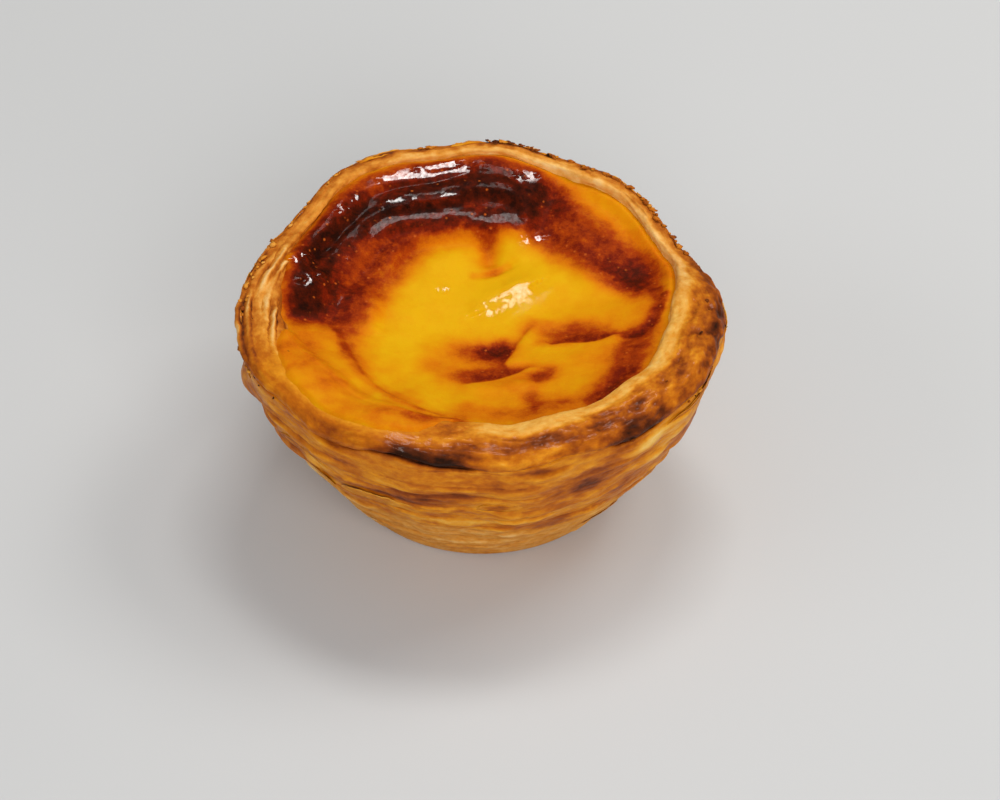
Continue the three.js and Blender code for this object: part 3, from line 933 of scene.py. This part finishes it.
# Colour of the lip: angle, share of the width in, half angle, half share, strength
LIP_DARK = [
    (-107, 0.06, 9, 0.24, 0.3), (-96, 0.04, 8, 0.14, 0.16), (-130, 0.1, 8, 0.16, 0.1),
    (-70, 0.3, 9, 0.16, 0.12), (-51, 0.02, 9, 0.14, 0.22), (-5, 0.1, 14, 0.22, 0.18),
    (12, 0.12, 9, 0.3, 0.1), (-28, 0.04, 8, 0.14, 0.1), (-160, 0.1, 6, 0.25, 0.1),
    (82, 0.1, 12, 0.5, 0.12), (115, 0.1, 10, 0.5, 0.08), (48, 0.1, 8, 0.4, 0.12),
]
LIP_PALE = [
    (24, 0.7, 14, 0.5, 0.22), (60, 0.75, 24, 0.6, 0.2), (100, 0.75, 28, 0.6, 0.18),
    (140, 0.7, 24, 0.6, 0.18), (172, 0.6, 14, 0.34, 0.2), (-168, 0.6, 12, 0.22, 0.24),
    (-152, 0.62, 7, 0.16, 0.24), (24, 1, 26, 0.3, 0.24), (80, 1, 40, 0.3, 0.2),
    (-92, 0.45, 7, 0.12, 0.1), (-74, 0.12, 8, 0.2, 0.12),
]


def closed_spline(controls, count):
    """A smooth closed run of points through control values of shape (controls, ...)."""
    place = np.arange(count) * len(controls) / count
    start = place.astype(int)
    t = (place - start).reshape((-1,) + (1,) * (controls.ndim - 1))
    return spline(*(controls[(start + k) % len(controls)] for k in (-1, 0, 1, 2)), t)


def lip_section(degrees):
    """Radius and height of the plain lip, as closed rows round its section."""
    thick = lip_thickness(degrees)
    drop = rim_height(degrees) - edge_height(degrees)
    ragged = 0.1 + 0.3 * ring_noise(degrees, 0, 70, 255) + 0.22 * ring_noise(degrees, 0, 160, 256)
    rim = rim_radius(degrees) + ragged * (1 - thick)
    width = lip_width(degrees) + ragged * (1 - thick)
    low = edge_height(degrees) - 0.35 * (1 - thick)
    radius = [rim - inward * width - more for inward, _, more, _ in LIP_SECTION]
    height = [low + up * drop + more * (0.55 + 0.45 * thick) for _, up, _, more in LIP_SECTION]
    return closed_spline(np.array(radius), LIP_ROWS), closed_spline(np.array(height), LIP_ROWS)


def lip_marks(marks, degrees, inward):
    total = 0
    for angle, level, half_angle, half_share, strength in marks:
        mark = bell(turn_from(degrees, angle), half_angle) * bell(inward - level, half_share)
        total = total + strength * mark
    return total


def lip_traits(degrees, radius, height, along):
    """What each place on the lip is like: mostly 1 for fully so, and 0 for not at all."""
    inward = (rim_radius(degrees) - radius) / lip_width(degrees)
    cream_from = 0.42 + 0.12 * ease((degrees + 75) / 40) + 0.1 * ring_noise(degrees, 0, 18, 262)
    cream = arc_window(degrees, -102, 34, 14) * ease((inward - cream_from) / 0.2)
    over = arc_window(degrees, *OVERFLOW_ARC, 24)
    skin = over * ease((inward - 0.06) / 0.25)
    share, _, strength = layer_pattern(degrees, along, LIP_LAYER, 201)
    crumpled = 0.4 + 0.6 * arc_window(degrees, -84, 130, 25)
    near_edge = bell(inward, 0.22) * (height < rim_height(degrees) - 0.2)
    return SimpleNamespace(
        inward=inward, cream=cream, over=over, skin=skin, calm=np.maximum(cream, skin),
        share=share, strength=strength, thick=lip_thickness(degrees),
        left=arc_window(degrees, 150, 214, 20), slit=slit_gap(degrees) * near_edge,
        blister=ring_noise(degrees, along / 2.3, 46, 221, 2),
        crumple=crumpled * ring_noise(degrees, along / 1.5, 76, 271))


def lip_relief(degrees, height, along, lip):
    """How far the lip stands out from its plain form, in millimetres."""
    layered = (0.06 + 0.5 * lip.left + 0.2 * (1 - lip.thick)) * (1 - lip.calm)
    relief = layered * lip.strength * ledge(lip.share)
    relief += 0.45 * ring_noise(degrees, along / 6, 15, 211) * (0.3 + 0.7 * lip.thick)
    relief += 0.34 * lip.blister * (0.2 + 0.8 * lip.thick) * (1 - 0.75 * lip.calm)
    relief += 0.16 * ring_noise(degrees, along / 0.9, 130, 231) * (1 - 0.3 * lip.calm)
    relief += 0.34 * lip.crumple * (1 - 0.6 * lip.cream) * (0.5 + 0.5 * lip.thick)
    seen = ease((height - fill_height(degrees) + 2.2) / 1.5)
    return (relief * (1 - 0.85 * lip.skin) - 0.15 * lip.skin) * seen


def lip_bake_and_shade(degrees, height, along, lip):
    """How dark the lip is baked, with painted light and shade on its layers and painted shade over the
    slits: 0 is pale and 1 is burnt.
    """
    patch = blotches(degrees, along, 241) * (1 - 0.5 * lip.over)
    grain = ring_noise(degrees, along / 1.1, 110, 261)
    dark = lip_marks(LIP_DARK, degrees, lip.inward)
    bake = 0.6 - 0.08 * lip.over + 0.16 * patch + 0.02 * ease(1 - 2 * lip.thick)
    bake -= 0.2 * lip.blister * lip.thick * (1 - 0.5 * lip.over)
    bake += dark - lip_marks(LIP_PALE, degrees, lip.inward)
    # Painted light and shade on the lip's layers, strongest on the left: paler along each layer's crest,
    # darker in the tucks at its edges.
    crest_light_and_tuck_shade = bell(lip.share - 0.6, 0.2) - bell(lip.share, 0.2) - bell(lip.share - 1, 0.2)
    bake -= (0.02 + 0.34 * lip.left) * lip.strength * crest_light_and_tuck_shade * (1 - lip.calm)
    bake += lip.cream * (CREAM_BAKE + 0.14 * patch + 0.08 * grain - 0.1 * lip.crumple - bake)
    bake += (0.08 * grain - 0.21 * lip.crumple) * (1 - lip.calm)
    bake += 0.85 * lip.skin * (SKIN_BAKE + 0.22 * patch - bake)
    bake += lip.skin * dark
    crisp = ease(-0.1 + 1.8 * ring_noise(degrees, along / 1.6, 60, 251))
    crisp *= (1 - ease(lip.inward / 0.35)) * arc_window(degrees, -30, 175, 25)
    # The last term is painted shade on the lip's underside over the slits.
    return bake + 0.22 * crisp + 0.22 * lip.slit * bell(height - edge_height(degrees), 0.7)


def make_lip(material):
    """The rolled lip round the cup's rim, as a closed ring."""
    degrees, radius, height, along = places_round(lip_section)
    lip = lip_traits(degrees, radius, height, along)
    points = to_points(radius, height, degrees)
    points += normals_of(points, True) * lip_relief(degrees, height, along, lip)[..., None]
    points[..., 2] += 0.2 * lip.slit
    butter = 0.9 - 0.2 * lip.cream + 0.15 * lip.over - 0.55 * (1 - lip.thick)
    # Less butter, so a paler colour, along the crests of the left's layers, as part of the painted
    # highlight there.
    butter -= 0.5 * lip.left * lip.strength * bell(lip.share - 0.6, 0.2)
    attributes = {"bake": lip_bake_and_shade(degrees, height, along, lip), "butter": np.clip(butter, 0, 1),
                  "sheet": sheet_coordinates(degrees, along)}
    return turned_object("crust_lip", points, attributes, material, True)


# ---------------------------------------------------------------- leaves and crumbs
RIM_LEAVES = 54
WALL_LEAVES = 14
LEAF_LONG = 26
LEAF_HIGH = 7
LEAF_THICK = 0.22
# Round the front the rim has no loose leaves, because the lip is rolled over there
LEAFLESS_ARC = (-150, -35)
# Leaves placed one by one: middle angle, half angle, low edge, height, how far out, lean
PLACED_LEAVES = [
    (-30, 9, 9, 3.4, 0.1, 0.3), (-139, 12, 20.4, 3.2, 0.12, 0.25), (-118, 12, 17.8, 2.4, 0.1, 0.2),
]


def leaf(maker, middle, half_angle, low, tall, out, lean):
    """One thin sheet lying round the cup: where it is, how thin, and the share up it."""
    u = np.linspace(-1, 1, LEAF_LONG)
    v = np.linspace(0, 1, LEAF_HIGH)[:, None]
    seed = int(maker.integers(1, 9999))
    ragged = 1 + 0.34 * noise(u * 3.2 + middle, 0, 0, seed)
    outline = np.sqrt(np.clip(1 - np.abs(u) ** 3, 0, 1)) * ragged
    degrees = middle + half_angle * u + 0 * v
    height = low + tall * outline * v + 0.4 * noise(u * 2, middle, 0, seed + 1)
    full = edge_height(degrees) - BASE_CORNER_HEIGHT
    share = np.clip((height - BASE_CORNER_HEIGHT) / full, 0, 1)
    lift = out + lean * v ** 2 * outline + 0.12 * noise(u * 5, v * 3, 0, seed + 2)
    thin = LEAF_THICK * (1 - 0.7 * v) * (0.3 + 0.7 * outline)
    return degrees, wall_radius(degrees, share) + lift, height, thin, v + 0 * u


def leaf_faces(start):
    """Faces of the closed strip whose front points come first and back points second."""
    front = start + np.arange(LEAF_LONG * LEAF_HIGH).reshape(LEAF_HIGH, LEAF_LONG)
    back = front + front.size
    turned = quads(back)[:, [0, 3, 2, 1]]
    return np.vstack([quads(front), turned, skirt(border(front), border(back))]).tolist()


def leaf_places(maker):
    """The listed leaves, then leaves round the rim and a few on the wall."""
    places = list(PLACED_LEAVES)
    for _ in range(RIM_LEAVES):
        middle = maker.uniform(-180, 180)
        tall = maker.uniform(0.9, 2)
        if LEAFLESS_ARC[0] < middle < LEAFLESS_ARC[1]:
            continue
        low = float(edge_height(np.array(middle))) - tall + maker.uniform(-1.2, 0.1)
        half_angle = maker.uniform(3, 10)
        places.append((middle, half_angle, low, tall, maker.uniform(0, 0.15), maker.uniform(0, 0.4)))
    ranges = [(-180, 180), (4, 10), (3, 26), (0.8, 2), (0, 0.1), (0.1, 0.3)]
    for _ in range(WALL_LEAVES):
        places.append([maker.uniform(low, high) for low, high in ranges])
    return places


def leaf_bake(degrees, height, share_up, tone):
    """How dark a leaf is baked, darkest where it makes the rim's edge."""
    low = ease((15 - height) / 4)
    on_rim = ease((height - edge_height(degrees) + 1.6) / 1.6)
    crisp = ease(-0.1 + 1.6 * ring_noise(degrees, height, 24, 302))
    bake = 0.5 - 0.14 * low + tone - 0.14 * ease((share_up - 0.75) / 0.25)
    return bake + 0.22 * blotches(degrees, height / 1.2, 301) + 0.26 * on_rim * crisp


def make_leaves(material):
    """Small loose leaves of pastry on the rim and the wall, as one mesh."""
    maker = np.random.default_rng(7)
    points, faces, bake, butter, sheet = [], [], [], [], []
    for place in leaf_places(maker):
        degrees, radius, height, thin, share_up = leaf(maker, *place)
        tone = maker.uniform(-0.1, 0.1)
        faces += leaf_faces(LEAF_LONG * LEAF_HIGH * len(points))
        for side in (0.5, -0.5):
            points.append(to_points(radius + side * thin, height, degrees).reshape(-1, 3))
            bake.append(leaf_bake(degrees, height, share_up, tone).ravel())
            butter.append((0.75 - 0.6 * ease((15 - height) / 4)).ravel())
            sheet.append(sheet_coordinates(degrees, height).reshape(-1, 3))
    attributes = {"bake": np.concatenate(bake), "butter": np.concatenate(butter),
                  "sheet": np.vstack(sheet)}
    return make_object("crust_leaves", np.vstack(points), faces, attributes, None, material)


# Toasted bits: middle angle, spread, how many, share of the lip's width in and its spread,
# bake, and the smallest and largest half size in mm
CRUMB_CLUSTERS = [
    (-6, 9, 14, 0.12, 0.16, 0.84, 0.15, 0.35), (8, 6, 12, 0.1, 0.14, 0.8, 0.15, 0.4),
    (80, 5, 12, 0, 0.14, 0.8, 0.25, 0.55), (-160, 6, 5, 0.05, 0.1, 0.95, 0.15, 0.3),
    (55, 12, 6, 0.1, 0.2, 0.7, 0.2, 0.4), (-24, 6, 6, 0.25, 0.25, 0.9, 0.15, 0.26),
    (-170, 8, 5, 0.2, 0.2, 0.92, 0.15, 0.26), (66, 26, 44, 0.02, 0.1, 0.5, 0.25, 0.65),
    (16, 18, 34, 0.03, 0.1, 0.62, 0.2, 0.6), (-22, 14, 12, 0.12, 0.14, 0.64, 0.2, 0.5),
    (178, 16, 14, 0.06, 0.16, 0.46, 0.3, 0.7), (150, 24, 18, 0.02, 0.1, 0.48, 0.2, 0.45),
    (-174, 10, 8, 0, 0.08, 0.55, 0.2, 0.4),
]
CRUMB_CORNERS = 12
# Each flake's smallest and largest share of its size: round the rim, across it, and up
CRUMB_LEAST = [0.9, 0.45, 0.2]
CRUMB_MOST = [2.0, 1.0, 0.5]


def crumb(maker, middle, size, degrees):
    """One flake: the hull corners of a rough flattened ball, longest round the rim."""
    golden = math.pi * (3 - math.sqrt(5))
    index = np.arange(CRUMB_CORNERS)
    z = 1 - 2 * (index + 0.5) / CRUMB_CORNERS
    ring = np.sqrt(1 - z * z)
    ball = np.stack([ring * np.cos(golden * index), ring * np.sin(golden * index), z], 1)
    ball *= maker.uniform(0.6, 1.25, (CRUMB_CORNERS, 1))
    ball *= size * maker.uniform(CRUMB_LEAST, CRUMB_MOST)
    turn = math.radians(float(degrees) + 90 + 25 * maker.normal())
    c, s = math.cos(turn), math.sin(turn)
    return ball @ np.array([[c, s, 0], [-s, c, 0], [0, 0, 1]]) + middle


def crumb_middle(degrees, share):
    """A place on top of the lip, at a share of its width in from the outer edge."""
    drop = (rim_height(degrees) - edge_height(degrees)) * (1 - ease(share / 0.35))
    radius = rim_radius(degrees) - share * lip_width(degrees)
    return to_points(radius, rim_height(degrees) - drop + 0.1, degrees)


def make_crumbs(material):
    """The loose toasted bits on the lip, as one mesh."""
    maker = np.random.default_rng(19)
    shape = bmesh.new()
    tones = []
    for angle, spread, count, inward, inward_spread, bake, small, large in CRUMB_CLUSTERS:
        for _ in range(count):
            degrees = np.array(angle + spread * maker.normal())
            share = float(np.clip(inward + inward_spread * maker.normal(), -0.02, 0.8))
            size = maker.uniform(small, large)
            spots = crumb(maker, crumb_middle(degrees, share), size, degrees)
            corners = [shape.verts.new(p) for p in spots]
            tones += [bake + 0.09 * maker.normal()] * len(corners)
            bmesh.ops.convex_hull(shape, input=corners)
    bake = np.array([tone for tone, v in zip(tones, shape.verts) if v.link_faces])
    loose = [v for v in shape.verts if not v.link_faces]
    bmesh.ops.delete(shape, geom=loose, context="VERTS")
    shape.verts.index_update()
    points = np.array([v.co for v in shape.verts])
    faces = [[v.index for v in face.verts] for face in shape.faces]
    shape.free()
    attributes = {"bake": bake, "butter": 0 * bake + 0.5, "sheet": points * 2}
    return make_object("crust_crumbs", points, faces, attributes, None, material)


# ---------------------------------------------------------------- materials
CUSTARD_COLOURS = [
    (0, (0.66, 0.345, 0.003)), (0.14, (0.64, 0.285, 0.002)), (0.28, (0.62, 0.215, 0.002)),
    (0.42, (0.56, 0.14, 0.002)), (0.56, (0.335, 0.04, 0.002)), (0.7, (0.16, 0.011, 0.002)),
    (0.84, (0.065, 0.007, 0.002)), (1, (0.018, 0.004, 0.002)),
]
DRY_COLOURS = [
    (0, (0.8, 0.56, 0.27)), (0.2, (0.74, 0.41, 0.135)), (0.38, (0.61, 0.245, 0.042)),
    (0.55, (0.4, 0.112, 0.011)), (0.7, (0.22, 0.054, 0.009)), (0.84, (0.095, 0.027, 0.009)),
    (1, (0.026, 0.01, 0.006)),
]
BUTTER_COLOURS = [
    (0, (0.82, 0.56, 0.19)), (0.2, (0.76, 0.4, 0.06)), (0.38, (0.66, 0.245, 0.01)),
    (0.55, (0.45, 0.118, 0.005)), (0.7, (0.25, 0.05, 0.005)), (0.84, (0.1, 0.019, 0.004)),
    (1, (0.024, 0.008, 0.004)),
]

SPECK_COLOUR = (0.46, 0.09, 0.010, 1)
FLOOR_COLOURS = [(0, (0.52, 0.52, 0.515)), (1, (0.56, 0.56, 0.555))]


class Shader:
    """A material's node tree, built node by node."""

    def __init__(self, name):
        self.material = bpy.data.materials.new(name)
        self.material.use_nodes = True
        self.tree = self.material.node_tree
        self.surface = self.tree.nodes["Principled BSDF"]

    def fill(self, node, sockets):
        for key, value in sockets.items():
            if isinstance(value, bpy.types.NodeSocket):
                self.tree.links.new(value, node.inputs[key])
            else:
                node.inputs[key].default_value = value

    def node(self, kind, sockets, **settings):
        made = self.tree.nodes.new("ShaderNode" + kind)
        for key, value in settings.items():
            setattr(made, key, value)
        self.fill(made, sockets)
        return made.outputs

    def place(self):
        return self.node("TexCoord", {})["Object"]

    def attribute(self, name, output="Fac"):
        return self.node("Attribute", {}, attribute_name=name)[output]

    def noise(self, vector, scale, detail=3.0, roughness=0.55):
        sockets = {"Vector": vector, "Scale": scale, "Detail": detail, "Roughness": roughness}
        return self.node("TexNoise", sockets)["Fac"]

    def swing(self, vector, scale, detail, size, roughness=0.55):
        """Noise that moves a value up and down by about so much."""
        return self.remap(self.noise(vector, scale, detail, roughness), 0.3, 0.7, -size, size)

    def sum(self, a, b):
        return self.node("Math", {0: a, 1: b}, operation="ADD")[0]

    def product(self, a, b):
        return self.node("Math", {0: a, 1: b}, operation="MULTIPLY")[0]

    def remap(self, value, low, high, to_low=0.0, to_high=1.0):
        sockets = {"Value": value, "From Min": low, "From Max": high,
                   "To Min": to_low, "To Max": to_high}
        return self.node("MapRange", sockets)["Result"]

    def ramp(self, value, colours):
        outputs = self.node("ValToRGB", {"Fac": value})
        stops = outputs["Color"].node.color_ramp.elements
        while len(stops) < len(colours):
            stops.new(0.5)
        for stop, (place, colour) in zip(stops, colours):
            stop.position = place
            stop.color = (*colour, 1)
        return outputs["Color"]

    def mix(self, share, a, b):
        return self.node("Mix", {0: share, 6: a, 7: b}, data_type="RGBA")[2]

    def bumps(self, layers):
        """One bump on another, each with its height, strength and distance in metres."""
        sockets = {}
        for height, strength, distance in layers:
            sockets.update({"Height": height, "Strength": strength, "Distance": distance})
            sockets["Normal"] = self.node("Bump", sockets)["Normal"]
        return sockets["Normal"]


def custard_material():
    shader = Shader("custard")
    place = shader.place()
    browning_and_shade = shader.attribute("browning_and_shade")
    wet = shader.attribute("wet")
    blots = shader.product(shader.swing(place, 800, 6, 0.12, 0.68), shader.remap(browning_and_shade, 0.45, 0.70))
    browned_and_shaded = shader.sum(browning_and_shade, shader.swing(place, 420, 5, 0.06))
    browned_and_shaded = shader.sum(browned_and_shaded, shader.swing(place, 3400, 2, 0.022))
    # The ramp turns brownness, with the painted shade carried in it, into colour.
    colour = shader.ramp(shader.sum(browned_and_shaded, blots), CUSTARD_COLOURS)
    cells = shader.node("TexVoronoi", {"Vector": place, "Scale": 760.0})["Distance"]
    specks = shader.remap(cells, 0.10, 0.22, 0.85, 0)
    specks = shader.product(specks, shader.remap(shader.noise(place, 500, 2), 0.45, 0.57))
    specks = shader.product(specks, shader.remap(browning_and_shade, 0.4, 0.6))
    broad = (shader.noise(place, 700), 0.30, 0.00010)
    crackle = (shader.noise(place, 1300, 2), shader.remap(wet, 0.1, 0.4, 0, 0.6), 0.0004)
    fine = (shader.noise(place, 2600), shader.remap(browning_and_shade, 0.1, 0.6, 0.22, 0.42), 0.00004)
    shader.fill(shader.surface, {
        "Base Color": shader.mix(specks, colour, SPECK_COLOUR), "IOR": 1.45,
        "Roughness": shader.remap(wet, 0, 1, 0.50, 0.20),
        "Normal": shader.bumps([broad, crackle, fine]),
        "Coat Weight": wet, "Coat Roughness": 0.07, "Coat IOR": 1.7, "Specular IOR Level": 0.03,
        "Subsurface Weight": 0.18, "Subsurface Scale": 0.0012,
        "Subsurface Radius": (1.0, 0.45, 0.08),
    })
    return shader.material


def crust_material():
    shader = Shader("pastry")
    place = shader.place()
    sheet = shader.attribute("sheet", "Vector")
    butter = shader.attribute("butter")
    mottle = shader.product(shader.swing(place, 700, 5, 0.07), shader.remap(butter, 0.88, 1, 1, 0.3))
    # The bake attribute holds how the pastry is baked, with painted light and shade on the wall's and
    # lip's layers and painted shade at the slits.
    bake = shader.sum(shader.attribute("bake"), shader.swing(sheet, 1, 5, 0.05, 0.6))
    bake = shader.sum(bake, mottle)
    colour = shader.mix(butter, shader.ramp(bake, DRY_COLOURS), shader.ramp(bake, BUTTER_COLOURS))
    rough = shader.sum(shader.remap(butter, 0, 1, 0.66, 0.46), shader.swing(place, 420, 3, 0.12))
    streaks = (shader.noise(sheet, 0.8, 4, 0.6), 0.45, 0.00016)
    flakes = (shader.noise(place, 900), 0.5, 0.00018)
    fine = (shader.noise(place, 2200), 0.35, 0.00006)
    shader.fill(shader.surface, {
        "Base Color": colour, "Roughness": rough, "IOR": 1.45,
        "Normal": shader.bumps([streaks, flakes, fine]),
        "Coat Weight": shader.remap(butter, 0.5, 1, 0, 0.15), "Coat Roughness": 0.11,
        "Specular IOR Level": 0.05,
        "Subsurface Weight": 0.10, "Subsurface Scale": 0.0008,
        "Subsurface Radius": (1.0, 0.5, 0.2),
    })
    return shader.material


def floor_material():
    shader = Shader("floor")
    colour = shader.ramp(shader.noise(shader.place(), 6, 2), FLOOR_COLOURS)
    shader.fill(shader.surface, {"Base Color": colour, "Roughness": 0.8})
    return shader.material


# ---------------------------------------------------------------- camera, floor and light
LENS = 104.7
SENSOR = 36.0
CAMERA_DISTANCE = 0.480
CAMERA_ELEVATION = 42.35
AIM = Vector((0.00275, 0.0136, 0.0))
# Lamps: angle round the tart, elevation, distance and size in metres, watts, colour, glossy
LAMPS = [
    ("window", 72, 66, 0.8, (0.3, 0.17), 2.2, (1, 0.99, 0.97), True),
    ("key", 30, 48, 0.8, (0.36, 0.26), 2.3, (1, 0.985, 0.96), False),
    ("ceiling", 90, 84, 0.9, (0.8, 0.5), 0.15, (0.95, 0.97, 1), True),
    ("front_fill", -76, 30, 0.9, (0.7, 0.45), 5.6, (0.99, 0.99, 1), False),
    ("left_fill", -166, 28, 0.9, (0.5, 0.4), 1.2, (0.97, 0.985, 1), False),
]
WORLD_LIGHT = 0.30
FLOOR_SIZE = 3.0
FLOOR_CLEARANCE = 0.00005


def direction(angle, elevation):
    a, e = math.radians(angle), math.radians(elevation)
    return Vector((math.cos(a) * math.cos(e), math.sin(a) * math.cos(e), math.sin(e)))


def make_camera():
    data = bpy.data.cameras.new("camera")
    data.lens = LENS
    data.sensor_width = SENSOR
    data.clip_start, data.clip_end = 0.01, 20
    camera = placed("camera", data)
    back = direction(-90, CAMERA_ELEVATION)
    camera.location = AIM + back * CAMERA_DISTANCE
    camera.rotation_euler = (-back).to_track_quat("-Z", "Y").to_euler()
    bpy.context.scene.camera = camera


def make_lamps():
    for name, angle, elevation, distance, size, watts, colour, glossy in LAMPS:
        data = bpy.data.lights.new(name, "AREA")
        data.shape = "RECTANGLE"
        data.size, data.size_y = size
        data.energy = watts
        data.color = colour
        lamp = placed(name, data)
        out = direction(angle, elevation)
        lamp.location = out * distance + Vector((0, 0, shell_high[2] / 2))
        lamp.rotation_euler = (-out).to_track_quat("-Z", "Y").to_euler()
        lamp.visible_glossy = glossy


def make_world():
    world = bpy.data.worlds.new("world")
    bpy.context.scene.world = world
    world.use_nodes = True
    background = world.node_tree.nodes["Background"]
    background.inputs["Color"].default_value = (0.97, 0.985, 1.0, 1)
    background.inputs["Strength"].default_value = WORLD_LIGHT
    world.cycles_visibility.glossy = False
    bpy.context.scene.view_settings.view_transform = "Standard"


def make_floor():
    size = FLOOR_SIZE
    mesh = bpy.data.meshes.new("floor")
    mesh.from_pydata([(-size, -size, 0), (size, -size, 0), (size, size, 0), (-size, size, 0)],
                     [], [(0, 1, 2, 3)])
    mesh.materials.append(floor_material())
    floor = placed("floor", mesh)
    floor.location.z = shell_low[2] - FLOOR_CLEARANCE


# ---------------------------------------------------------------- putting it together
def main():
    make_camera()
    make_world()
    make_lamps()
    make_floor()
    pastry = crust_material()
    wall = make_wall(pastry)
    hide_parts("pastry_shell")
    filling = make_custard(custard_material())
    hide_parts("custard")
    for piece in (wall, make_lip(pastry), make_leaves(pastry), make_crumbs(pastry)):
        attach(piece, "root")
    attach(filling, "root")


main()
